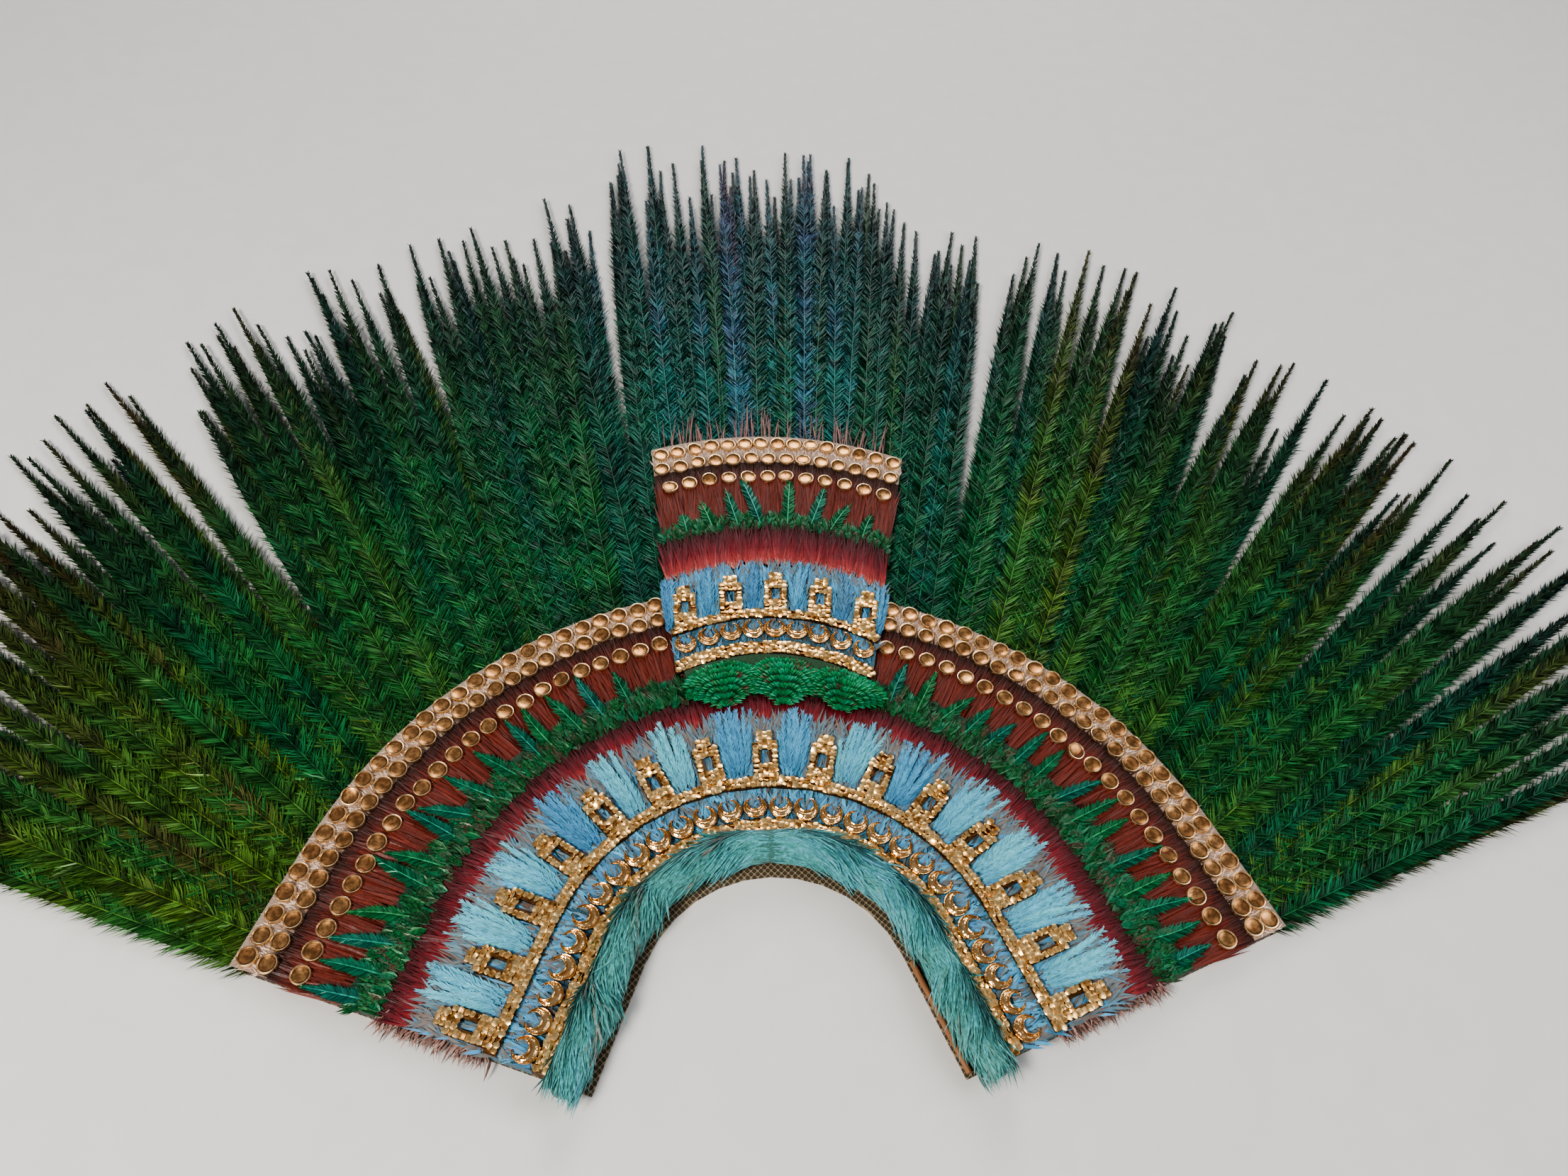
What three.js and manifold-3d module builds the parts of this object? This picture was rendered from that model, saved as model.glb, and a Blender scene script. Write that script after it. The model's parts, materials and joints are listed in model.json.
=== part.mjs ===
// Feathered headdress, lying on its back: a fan of long green plumes behind a horseshoe of feather and gold
// bands, with a raised tongue of the same bands over the crown. Millimetres, +Y up the fan, +Z out of its
// face. The back rests on z = 0, and the origin is under the middle of the whole.
import * as THREE from "three";
import { mergeVertices } from "three/addons/utils/BufferGeometryUtils.js";
import Module from "manifold-3d";

const wasm = await Module();
wasm.setup();

const radians = THREE.MathUtils.degToRad;
const GAP = 0.4; // between pieces that lie on each other

// The horseshoe is an arc about the brow's centre with a straight leg on each side. A band's edges are
// offsets from the row of crescents, and a place along it is a length from the crown, negative on the left.
const ARCH = { radius: 146, spread: radians(69.2), leg: 92, steps: 12 };

const BACKING = { inner: -49, outer: 213, bottom: 0, innerTop: 3, outerTop: 3 };
const ON_BACKING = BACKING.innerTop + GAP;
const ROLL = { offset: -31.8, half: 11.2, middle: 16.2, halfHeight: 12.6, sides: 8 };
const ROLL_END = { overhang: 12, taper: 0.45 };
const REED = { offset: -46.6, radius: 2.2, sides: 8, from: 8, to: 90 };
const BANDS = {
  goldEdge: { inner: -20, outer: -8.4, bottom: ON_BACKING, innerTop: 14, outerTop: 14 },
  blue: { inner: -8, outer: 75.6, bottom: ON_BACKING, innerTop: 14, outerTop: 14 },
  course: { inner: 17, outer: 26, bottom: 14.4, innerTop: 16.6, outerTop: 16.6 },
  red: { inner: 76, outer: 101.6, bottom: ON_BACKING, innerTop: 14, outerTop: 13 },
  green: { inner: 102, outer: 127.6, bottom: ON_BACKING, innerTop: 13.6, outerTop: 12.4 },
  brown: { inner: 128, outer: 183, bottom: ON_BACKING, innerTop: 9, outerTop: 9 },
  rim: { inner: 183.4, outer: 215, bottom: 7.4, innerTop: 9, outerTop: 9 },
};

// The tongue's rows sag from its middle to its sides and widen upwards, and the whole leans a little.
const TONGUE = {
  foot: 288,
  height: 255,
  footHalf: 80,
  topHalf: 119,
  sag: 24,
  lean: radians(-3.5),
  shift: 12.5,
  steps: 6,
};
const TONGUE_BACKING = { inner: 0, outer: 255, bottom: 9.4, innerTop: 11.4, outerTop: 11.4 };
const ON_TONGUE = TONGUE_BACKING.innerTop + GAP;
const TONGUE_BANDS = {
  goldEdge: { inner: 0, outer: 11.6, bottom: ON_TONGUE, innerTop: 15, outerTop: 15 },
  blue: { inner: 12, outer: 99.6, bottom: ON_TONGUE, innerTop: 15, outerTop: 15 },
  course: { inner: 36, outer: 43, bottom: 15.4, innerTop: 17.6, outerTop: 17.6 },
  red: { inner: 100, outer: 139.6, bottom: ON_TONGUE, innerTop: 15, outerTop: 14.6 },
  green: { inner: 140, outer: 155.6, bottom: ON_TONGUE, innerTop: 14.8, outerTop: 14.6 },
  brown: { inner: 156, outer: 213.6, bottom: ON_TONGUE, innerTop: 13.4, outerTop: 13.4 },
  rim: { inner: 214, outer: 255, bottom: ON_TONGUE, innerTop: 13.8, outerTop: 13.8 },
};

// Gold cups in rows, gold crescents, and stepped gold figures that stand on their course.
const CUP = { radius: 7.3, lip: 0.84, height: 2.6, dish: 1.3, sides: 5, sunk: 0.5, beside: 4 };
const CUP_ROWS = {
  loose: { offset: 166, pitch: 16.8 },
  second: { offset: 191.6, pitch: 15.9 },
  outer: { offset: 207, pitch: 15.8 },
};
// A tongue row's reach is the share of the half width that it covers.
const TONGUE_CUP_ROWS = {
  loose: { up: 202, count: 12, reach: 0.89 },
  second: { up: 225, count: 14, reach: 0.935 },
  outer: { up: 245, count: 15, reach: 0.935 },
};
const CRESCENT = { radius: 9, bite: 5.2, biteShift: 4.1, thickness: 2.4, segments: 3 };
const CRESCENTS = { count: 28, endMargin: 10, tongueCount: 9, tongueUp: 23.5, tongueReach: 0.88 };
const FIGURE = { thickness: 3, sunk: 3, count: 15, endMargin: 12, tongueCount: 5, tongueReach: 0.86 };
const FIGURE_ROW = 40; // the offset along which figures and tufts are spaced
const FIGURE_STEPS = [
  { up: 0, half: 9.6 },
  { up: 32, half: 9.6 },
  { up: 32, half: 5.6 },
  { up: 40, half: 5.6 },
];
const WINDOW = { foot: 13, top: 27, half: 3.4 };

// Raised tufts between the figures, and long leaf feathers that lie over the brown band. A blade's back
// rises from its root, so that it clears what it lies over.
const TUFT = { root: 30, length: 58, half: 12.5, height: 8, rise: 3, sunk: 0.8 };
const TONGUE_TUFT = { root: 46, length: 52, half: 7.5, height: 6, rise: 3, sunk: 0.8 };
const LEAF = { root: 112, length: 47, half: 6, height: 3, rise: 4, sunk: 0.6, perSide: 15, from: 108 };
const TONGUE_LEAF_ROOT = 143;
const TONGUE_LEAVES = [
  { across: -0.78, length: 24, turn: 6 },
  { across: -0.56, length: 36, turn: 14 },
  { across: -0.34, length: 48, turn: 14 },
  { across: -0.14, length: 66, turn: 15 },
  { across: 0.1, length: 66, turn: 0 },
  { across: 0.3, length: 56, turn: -16 },
  { across: 0.48, length: 40, turn: -22 },
  { across: 0.76, length: 32, turn: -6 },
];
const BLADE_OUTLINE = {
  leaf: [
    { along: 0, wide: 0.6, high: 0.8 },
    { along: 0.45, wide: 1, high: 1 },
    { along: 1, wide: 0, high: 0 },
  ],
  tuft: [
    { along: 0, wide: 0.35, high: 0.6 },
    { along: 0.75, wide: 1, high: 1 },
    { along: 1, wide: 0.55, high: 0.3 },
  ],
};

// The crest lies between the bands and the tongue's foot. Its inner edge is scalloped into lobes.
const CREST = { inner: 238, notch: 15, lobes: 3, bottom: 14.4, edge: 17, top: 23, clear: 1.5 };
const CREST_REACH = { from: -0.92, to: 1.12, steps: 12 }; // in shares of the tongue's half width

// The fan: a plume's tilt from straight up grows with its share of the way from the crown to the foot.
const PLUME = { root: 184, bottom: 3.7, top: 6.4, rootRidge: 0.6, ridge: 3, thickness: 3, tip: 1 };
const BLADE = { notch: 0.76, shoulder: 0.9, shoulderHalf: 6, uneven: 0.025, notchUneven: 0.04 };
const TILT = { most: radians(71), linear: 0.65 };
const CROWN = { half: 92, plumes: 16, length: 760, shorter: 58 };
const SIDE_PLUMES = 33;
const SIDE_LENGTHS = [
  { share: 0, length: 610 },
  { share: 0.33, length: 626 },
  { share: 0.5, length: 578 },
  { share: 0.75, length: 545 },
  { share: 1, length: 588 },
];

// ---- Places --------------------------------------------------------------------------------------

const vec = (x, y, z = 0) => new THREE.Vector3(x, y, z);
const UP = vec(0, 0, 1);
const halfLength = (offset) => (ARCH.radius + offset) * ARCH.spread + ARCH.leg;

/** A point of the horseshoe at a turn from the crown, and beyond the arc's end along the leg. */
function archPoint(turn, beyond, offset, z) {
  const side = Math.sign(turn) || 1;
  const along = vec(side * Math.cos(turn), -side * Math.sin(turn)).multiplyScalar(beyond);
  return vec(Math.sin(turn), Math.cos(turn)).multiplyScalar(ARCH.radius + offset).add(along).setZ(z);
}

/** The place and the turn of the outward direction at a length from the crown along an offset. */
function onArch(length, offset, z = 0) {
  const radius = ARCH.radius + offset;
  const turn = THREE.MathUtils.clamp(length / radius, -ARCH.spread, ARCH.spread);
  return { at: archPoint(turn, Math.abs(length - turn * radius), offset, z), turn: -turn };
}

/** The place and turn on the tongue at a share across it, -1 to 1, and a height up it. */
function onTongue(across, up, z = 0) {
  const half = THREE.MathUtils.lerp(TONGUE.footHalf, TONGUE.topHalf, up / TONGUE.height);
  const at = vec(across * half, up - TONGUE.sag * across ** 2).applyAxisAngle(UP, TONGUE.lean);
  const splay = Math.atan2(TONGUE.topHalf - TONGUE.footHalf, TONGUE.height);
  return { at: at.add(vec(TONGUE.shift, TONGUE.foot, z)), turn: TONGUE.lean - across * splay };
}

/** The length along an offset, on one side, at which a row comes out from under the tongue. */
function besideTongue(side, offset) {
  const radius = ARCH.radius + offset;
  const { at } = onTongue(side, radius - TONGUE.foot);
  return Math.asin(Math.abs(at.x) / radius) * radius;
}

/** Equal places from a first to a last. */
const spaced = (count, first, last) =>
  Array.from({ length: count }, (_, i) => first + ((last - first) * i) / (count - 1));

/** A small regular difference between neighbours, from -1 to 1. */
const unevenness = (i) => 0.6 * Math.sin(2.4 * i) + 0.4 * Math.sin(5.1 * i + 1);

// ---- Shapes --------------------------------------------------------------------------------------

/** A geometry from points and faces, each face a list of point indices in order round it. */
function meshOf(points, faces) {
  const triangles = ([first, ...rest]) => rest.slice(1).flatMap((corner, i) => [first, rest[i], corner]);
  return new THREE.BufferGeometry().setFromPoints(points).setIndex(faces.flatMap(triangles));
}

/** A closed solid through rings that have the same number of points. */
function loft(rings) {
  const n = rings[0].length;
  const faces = [];
  for (let r = 0; r + 1 < rings.length; r++)
    for (let i = 0; i < n; i++) {
      const next = (i + 1) % n;
      faces.push([r * n + i, r * n + next, (r + 1) * n + next, (r + 1) * n + i]);
    }
  const ring = [...Array(n).keys()];
  faces.push([...ring].reverse());
  faces.push(ring.map((i) => (rings.length - 1) * n + i));
  return meshOf(rings.flat(), faces);
}

/** The four corners of a band's section, as pairs of offset and height. */
const corners = ({ inner, outer, bottom, innerTop, outerTop }) => [
  [inner, bottom],
  [outer, bottom],
  [outer, outerTop],
  [inner, innerTop],
];

/** Turns and lengths beyond the arc from one leg's end to the other's. */
function archStations(legEnds = [{ beyond: ARCH.leg, size: 1 }]) {
  const ends = legEnds.map((end) => ({ ...end, turn: ARCH.spread }));
  const turns = spaced(ARCH.steps + 1, -ARCH.spread, ARCH.spread);
  const arc = turns.map((turn) => ({ turn, beyond: 0, size: 1 }));
  return [...ends.map((end) => ({ ...end, turn: -end.turn })).reverse(), ...arc, ...ends];
}

/** A band round the whole horseshoe. */
function archBand(section) {
  const ringAt = ({ turn, beyond }) => corners(section).map(([w, z]) => archPoint(turn, beyond, w, z));
  return loft(archStations().map(ringAt));
}

/** A row across the tongue. */
function tongueBand(section) {
  const ringAt = (across) => corners(section).map(([up, z]) => onTongue(across, up, z).at);
  return loft(spaced(TONGUE.steps + 1, -1, 1).map(ringAt));
}

/** A feather blade along +Y from its root, flat behind, with a raised middle line. */
const blade = ({ length, half, height, rise }, outline) =>
  loft(
    outline.map(({ along, wide, high }) => {
      const [y, back] = [along * length, along * rise];
      return [vec(-wide * half, y, back), vec(wide * half, y, back), vec(0, y, back + high * height)];
    }),
  );

/** A gold cup with a dished face, its foot sunk into what carries it. */
function cup() {
  const profile = [
    [0, -CUP.sunk],
    [CUP.radius, -CUP.sunk],
    [CUP.radius * CUP.lip, CUP.height],
    [0, CUP.dish],
  ];
  const points = profile.map(([r, z]) => new THREE.Vector2(r, z));
  return new THREE.LatheGeometry(points, CUP.sides).rotateX(Math.PI / 2);
}

/** A crescent whose horns point along +Y. */
function crescent() {
  const { radius, bite, biteShift, thickness, segments } = CRESCENT;
  const hornY = (radius ** 2 - bite ** 2 + biteShift ** 2) / (2 * biteShift);
  const hornX = Math.sqrt(radius ** 2 - hornY ** 2);
  const outside = Math.atan2(hornY, hornX);
  const inside = Math.atan2(hornY - biteShift, hornX);
  const shape = new THREE.Shape()
    .absarc(0, 0, radius, Math.PI - outside, 2 * Math.PI + outside, false)
    .absarc(0, biteShift, bite, inside, -Math.PI - inside, true);
  const options = { depth: thickness, bevelEnabled: false, curveSegments: segments };
  return new THREE.ExtrudeGeometry(shape, options);
}

/** A stepped figure that stands up +Y from its foot, with its window cut through. */
function figure() {
  const right = FIGURE_STEPS.map(({ up, half }) => new THREE.Vector2(half, up));
  const left = FIGURE_STEPS.toReversed().map(({ up, half }) => new THREE.Vector2(-half, up));
  const shape = new THREE.Shape([...right, ...left]);
  const { foot, top, half } = WINDOW;
  const sill = [new THREE.Vector2(half, foot), new THREE.Vector2(-half, foot)];
  const head = [new THREE.Vector2(-half, top), new THREE.Vector2(half, top)];
  shape.holes.push(new THREE.Path([...sill, ...head]));
  return new THREE.ExtrudeGeometry(shape, { depth: FIGURE.thickness, bevelEnabled: false });
}

// ---- Joining -------------------------------------------------------------------------------------

/** A solid from a closed geometry, whichever way its faces run. */
function solidOf(geometry) {
  const bare = geometry.clone();
  bare.deleteAttribute("normal");
  bare.deleteAttribute("uv");
  const merged = mergeVertices(bare, 1e-3);
  const vertProperties = merged.attributes.position.array;
  const make = (triVerts) => new wasm.Manifold(new wasm.Mesh({ numProp: 3, vertProperties, triVerts }));
  const corner = merged.index.array;
  const isFace = (_, i) => new Set(corner.slice(i - (i % 3), i - (i % 3) + 3)).size === 3;
  const triVerts = new Uint32Array(corner.filter(isFace));
  const solid = make(triVerts);
  return solid.volume() > 0 ? solid : make(triVerts.toReversed());
}

/** The geometry of a solid. */
function geometryOf(solid) {
  const { vertProperties, triVerts } = solid.getMesh();
  return new THREE.BufferGeometry()
    .setAttribute("position", new THREE.BufferAttribute(vertProperties, 3))
    .setIndex(new THREE.BufferAttribute(triVerts, 1));
}

/** A copy of a geometry turned and moved to a place. */
const placed = (geometry, { at, turn }) => geometry.clone().rotateZ(turn).translate(at.x, at.y, at.z);

const group = new THREE.Group();

/** Adds one named piece: a base, and what is fused to it. */
function piece(name, material, base, fusedParts = []) {
  const solid = fusedParts.reduce((whole, part) => whole.add(solidOf(part)), solidOf(base));
  const mesh = new THREE.Mesh(geometryOf(solid), material);
  mesh.name = name;
  group.add(mesh);
}

// ---- Materials -----------------------------------------------------------------------------------

const finish = (color, roughness, metalness = 0) =>
  new THREE.MeshStandardMaterial({ color, roughness, metalness, flatShading: true });
const MATERIAL = {
  net: finish("#b3a384", 0.95),
  reed: finish("#a96f47", 0.7),
  plume: finish("#1d4a2c", 0.45, 0.3),
  leaf: finish("#0f6a45", 0.4, 0.3),
  rufous: finish("#5c2118", 0.75),
  tape: finish("#cdb8a6", 0.9),
  red: finish("#8e1c22", 0.7),
  blue: finish("#4a9cc0", 0.65),
  turquoise: finish("#4a9a96", 0.65),
  gold: finish("#c08a4a", 0.3, 1),
};

// ---- Plumes --------------------------------------------------------------------------------------

/** The length of a side plume at its share of the way from the crown's fan to the foot. */
function sideLength(share) {
  const next = Math.max(SIDE_LENGTHS.findIndex((row) => row.share >= share), 1);
  const [a, b] = [SIDE_LENGTHS[next - 1], SIDE_LENGTHS[next]];
  return THREE.MathUtils.mapLinear(share, a.share, b.share, a.length, b.length);
}

/** The root, direction and length of the plume at a length from the crown along the roots. */
function plumeAt(length, longer = 0) {
  const half = halfLength(PLUME.root);
  const share = Math.abs(length) / half;
  const tilt = Math.sign(length) * TILT.most * (TILT.linear * share + (1 - TILT.linear) * share ** 3);
  const reach =
    Math.abs(length) <= CROWN.half
      ? CROWN.length - CROWN.shorter * (length / CROWN.half) ** 2
      : sideLength((Math.abs(length) - CROWN.half) / (half - CROWN.half));
  const [root, way] = [onArch(length, PLUME.root).at, vec(Math.sin(tilt), Math.cos(tilt))];
  const across = vec(way.y, -way.x);
  return (along, aside = 0, z = 0) =>
    root.clone().addScaledVector(way, along * reach * (1 + longer)).addScaledVector(across, aside).setZ(z);
}

/** A fan as one sheet: neighbours share an edge as far as a notch, then each plume has its own tip. */
function fan(count, first, last) {
  const points = [];
  const faces = [];
  const add = (point) => points.push(point) - 1;
  const edges = spaced(count + 1, first, last).map((length, i) => {
    const place = plumeAt(length);
    const notch = BLADE.notch + BLADE.notchUneven * unevenness(i);
    return {
      back: [add(place(0, 0, PLUME.bottom)), add(place(notch, 0, 0))],
      face: [add(place(0, 0, PLUME.top)), add(place(notch, 0, PLUME.thickness))],
    };
  });
  for (let i = 0; i < count; i++) {
    const [left, right] = [edges[i], edges[i + 1]];
    const place = plumeAt(first + ((last - first) * (i + 0.5)) / count, BLADE.uneven * unevenness(i + 7));
    const shoulders = [-1, 1].map((side) => add(place(BLADE.shoulder, side * BLADE.shoulderHalf, PLUME.tip)));
    const ridge = [
      add(place(0, 0, PLUME.top + PLUME.rootRidge)),
      add(place(BLADE.notch, 0, PLUME.thickness + PLUME.ridge)),
      add(place(BLADE.shoulder, 0, PLUME.tip + PLUME.ridge)),
    ];
    const tip = add(place(1, 0, PLUME.tip));
    // The face, from root to tip.
    faces.push([left.face[0], ridge[0], ridge[1], left.face[1]]);
    faces.push([ridge[0], right.face[0], right.face[1], ridge[1]]);
    faces.push([left.face[1], ridge[1], ridge[2], shoulders[0]]);
    faces.push([ridge[1], right.face[1], shoulders[1], ridge[2]]);
    faces.push([shoulders[0], ridge[2], tip]);
    faces.push([ridge[2], shoulders[1], tip]);
    // The back, from root to tip.
    faces.push([left.back[0], left.back[1], right.back[1], right.back[0]]);
    faces.push([left.back[1], shoulders[0], shoulders[1], right.back[1]]);
    faces.push([shoulders[0], tip, shoulders[1]]);
    // The sides above the notch, and the root.
    faces.push([left.face[1], shoulders[0], left.back[1]]);
    faces.push([right.face[1], right.back[1], shoulders[1]]);
    faces.push([left.back[0], right.back[0], right.face[0], ridge[0], left.face[0]]);
  }
  const [start, end] = [edges[0], edges[count]];
  faces.push([start.back[0], start.face[0], start.face[1], start.back[1]]);
  faces.push([end.face[0], end.back[0], end.back[1], end.face[1]]);
  return meshOf(points, faces);
}

const footOfFan = halfLength(PLUME.root);
piece("plumes_left", MATERIAL.plume, fan(SIDE_PLUMES, -footOfFan, -CROWN.half - GAP));
piece("plumes_crown", MATERIAL.plume, fan(CROWN.plumes, -CROWN.half, CROWN.half));
piece("plumes_right", MATERIAL.plume, fan(SIDE_PLUMES, CROWN.half + GAP, footOfFan));

// ---- Backing, roll and reed ----------------------------------------------------------------------

piece("backing", MATERIAL.net, archBand(BACKING));
piece("tongue_backing", MATERIAL.net, tongueBand(TONGUE_BACKING));

/** The roll round the opening: an oval section that tapers past the ends of the legs. */
function roll() {
  const ends = [
    { beyond: ARCH.leg, size: 1 },
    { beyond: ARCH.leg + ROLL_END.overhang, size: ROLL_END.taper },
  ];
  const rings = archStations(ends).map(({ turn, beyond, size }) =>
    spaced(ROLL.sides + 1, 0, 2 * Math.PI)
      .slice(1)
      .map((a) => {
        const w = ROLL.offset + ROLL.half * size * Math.cos(a);
        return archPoint(turn, beyond, w, ROLL.middle + ROLL.halfHeight * size * Math.sin(a));
      }),
  );
  return loft(rings);
}
piece("brow_roll", MATERIAL.turquoise, roll());

/** The straight reed along the inner edge of the right leg. */
function reed() {
  const ring = spaced(REED.sides + 1, 0, 2 * Math.PI).slice(1);
  const z = ON_BACKING + REED.radius;
  const at = (beyond) => (a) =>
    archPoint(ARCH.spread, beyond, REED.offset + REED.radius * Math.cos(a), z + REED.radius * Math.sin(a));
  return loft([ring.map(at(REED.from)), ring.map(at(REED.to))]);
}
piece("edge_reed", MATERIAL.reed, reed());

// ---- Bands of the horseshoe ----------------------------------------------------------------------

/** Copies of a shape at lengths along an offset, standing on a height. */
const alongArch = (shape, lengths, offset, z) => lengths.map((s) => placed(shape, onArch(s, offset, z)));

/** Cups on both sides of the tongue, out to the ends of the legs. */
function cupRow({ offset, pitch }, z) {
  const last = halfLength(offset) - CUP.radius - 1;
  const lengths = [-1, 1].flatMap((side) => {
    const first = besideTongue(side, offset) + CUP.radius + CUP.beside;
    return spaced(Math.floor((last - first) / pitch) + 1, first, last).map((s) => side * s);
  });
  return alongArch(cup(), lengths, offset, z);
}

/** The middles between neighbouring places. */
const between = (places) => places.slice(1).map((place, i) => (place + places[i]) / 2);

const lastFigure = halfLength(FIGURE_ROW) - FIGURE.endMargin;
const figureLengths = spaced(FIGURE.count, -lastFigure, lastFigure);
/** A shape with its foot at an offset, to be placed along the row of figures. */
const fromFigureRow = (shape, foot) => shape.translate(0, foot - FIGURE_ROW, 0);
const tuft = blade(TUFT, BLADE_OUTLINE.tuft);
const { goldEdge, blue, course, red, green, brown, rim } = BANDS;

piece("gold_edge_main", MATERIAL.gold, archBand(goldEdge));
piece(
  "gold_frieze_main",
  MATERIAL.gold,
  archBand(course),
  alongArch(fromFigureRow(figure(), course.outer - FIGURE.sunk), figureLengths, FIGURE_ROW, course.bottom),
);
piece(
  "blue_band_main",
  MATERIAL.blue,
  archBand(blue),
  alongArch(fromFigureRow(tuft, TUFT.root), between(figureLengths), FIGURE_ROW, blue.innerTop - TUFT.sunk),
);
piece("red_band_main", MATERIAL.red, archBand(red));
piece(
  "green_band_main",
  MATERIAL.leaf,
  archBand(green),
  spaced(LEAF.perSide, LEAF.from, halfLength(LEAF.root) - LEAF.half).flatMap((s, i) =>
    [-1, 1].map((side) => {
      const length = LEAF.length * (1 + 0.16 * unevenness(i + side));
      const shape = blade({ ...LEAF, length }, BLADE_OUTLINE.leaf);
      return placed(shape, onArch(side * s, LEAF.root, green.innerTop - 2 * LEAF.sunk));
    }),
  ),
);
piece("brown_band_main", MATERIAL.rufous, archBand(brown), cupRow(CUP_ROWS.loose, brown.outerTop));
piece("rim_band_main", MATERIAL.tape, archBand(rim), [
  ...cupRow(CUP_ROWS.second, rim.outerTop),
  ...cupRow(CUP_ROWS.outer, rim.outerTop),
]);

spaced(CRESCENTS.count, -1, 1).forEach((share, i) => {
  const length = share * (halfLength(0) - CRESCENTS.endMargin);
  const name = `crescent_main_${String(i + 1).padStart(2, "0")}`;
  piece(name, MATERIAL.gold, placed(crescent(), onArch(length, 0, blue.innerTop + GAP)));
});

// ---- Crest ---------------------------------------------------------------------------------------

/** The ruff over the crown, whose outer edge follows the tongue's foot. */
function crest() {
  const rings = spaced(CREST_REACH.steps + 1, 0, 1).map((share) => {
    const across = THREE.MathUtils.lerp(CREST_REACH.from, CREST_REACH.to, share);
    const outer = onTongue(across, -CREST.clear).at;
    const lobe = Math.abs(Math.cos(share * CREST.lobes * Math.PI));
    const inner = outer.clone().setLength(CREST.inner + CREST.notch * lobe);
    return [
      inner.clone().setZ(CREST.bottom),
      outer.clone().setZ(CREST.bottom),
      outer.clone().setZ(CREST.edge),
      outer.clone().lerp(inner, 0.5).setZ(CREST.top),
      inner.clone().setZ(CREST.edge),
    ];
  });
  return loft(rings);
}
piece("green_crest", MATERIAL.leaf, crest());

// ---- Bands of the tongue -------------------------------------------------------------------------

/** Copies of a shape at shares across the tongue. */
const acrossTongue = (shape, shares, up, z) => shares.map((a) => placed(shape, onTongue(a, up, z)));

const tongueCups = ({ up, count, reach }, z) =>
  acrossTongue(cup(), spaced(count, -reach, reach), up, z);
const tongueFigures = spaced(FIGURE.tongueCount, -FIGURE.tongueReach, FIGURE.tongueReach);
const tongueTuft = blade(TONGUE_TUFT, BLADE_OUTLINE.tuft);
const onRow = TONGUE_BANDS;

piece("gold_edge_tongue", MATERIAL.gold, tongueBand(onRow.goldEdge));
piece(
  "gold_frieze_tongue",
  MATERIAL.gold,
  tongueBand(onRow.course),
  acrossTongue(figure(), tongueFigures, onRow.course.outer - FIGURE.sunk, onRow.course.bottom),
);
piece(
  "blue_band_tongue",
  MATERIAL.blue,
  tongueBand(onRow.blue),
  acrossTongue(tongueTuft, between(tongueFigures), TONGUE_TUFT.root, onRow.blue.innerTop - TONGUE_TUFT.sunk),
);
piece("red_band_tongue", MATERIAL.red, tongueBand(onRow.red));
piece(
  "green_band_tongue",
  MATERIAL.leaf,
  tongueBand(onRow.green),
  TONGUE_LEAVES.map(({ across, length, turn }) => {
    const place = onTongue(across, TONGUE_LEAF_ROOT, onRow.green.outerTop - LEAF.sunk);
    const leaf = blade({ ...LEAF, length }, BLADE_OUTLINE.leaf);
    return placed(leaf, { at: place.at, turn: place.turn + radians(turn) });
  }),
);
piece(
  "brown_band_tongue",
  MATERIAL.rufous,
  tongueBand(onRow.brown),
  tongueCups(TONGUE_CUP_ROWS.loose, onRow.brown.outerTop),
);
piece("rim_band_tongue", MATERIAL.tape, tongueBand(onRow.rim), [
  ...tongueCups(TONGUE_CUP_ROWS.second, onRow.rim.outerTop),
  ...tongueCups(TONGUE_CUP_ROWS.outer, onRow.rim.outerTop),
]);

spaced(CRESCENTS.tongueCount, -CRESCENTS.tongueReach, CRESCENTS.tongueReach).forEach((share, i) => {
  const place = onTongue(share, CRESCENTS.tongueUp, onRow.blue.innerTop + GAP);
  piece(`crescent_tongue_${i + 1}`, MATERIAL.gold, placed(crescent(), place));
});

// The origin goes under the middle of the whole.
const box = new THREE.Box3().setFromObject(group);
const middle = box.getCenter(new THREE.Vector3());
group.position.set(-middle.x, -middle.y, -box.min.z);

export default group;
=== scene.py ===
"""Dresses the feathered headdress: plumes, feather bands, gold trim and brow roll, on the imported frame.

Sizes are in millimetres, in the horseshoe's own terms: an offset across its bands, measured outwards from the
row of crescents, and a length along a band from the crown, negative on the left.
"""

import json
import logging
import math
from collections.abc import Iterator, Sequence
from contextlib import contextmanager
from dataclasses import dataclass, field, replace
from enum import Enum

import bpy
import numpy as np
from mathutils import Matrix, Vector

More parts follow.
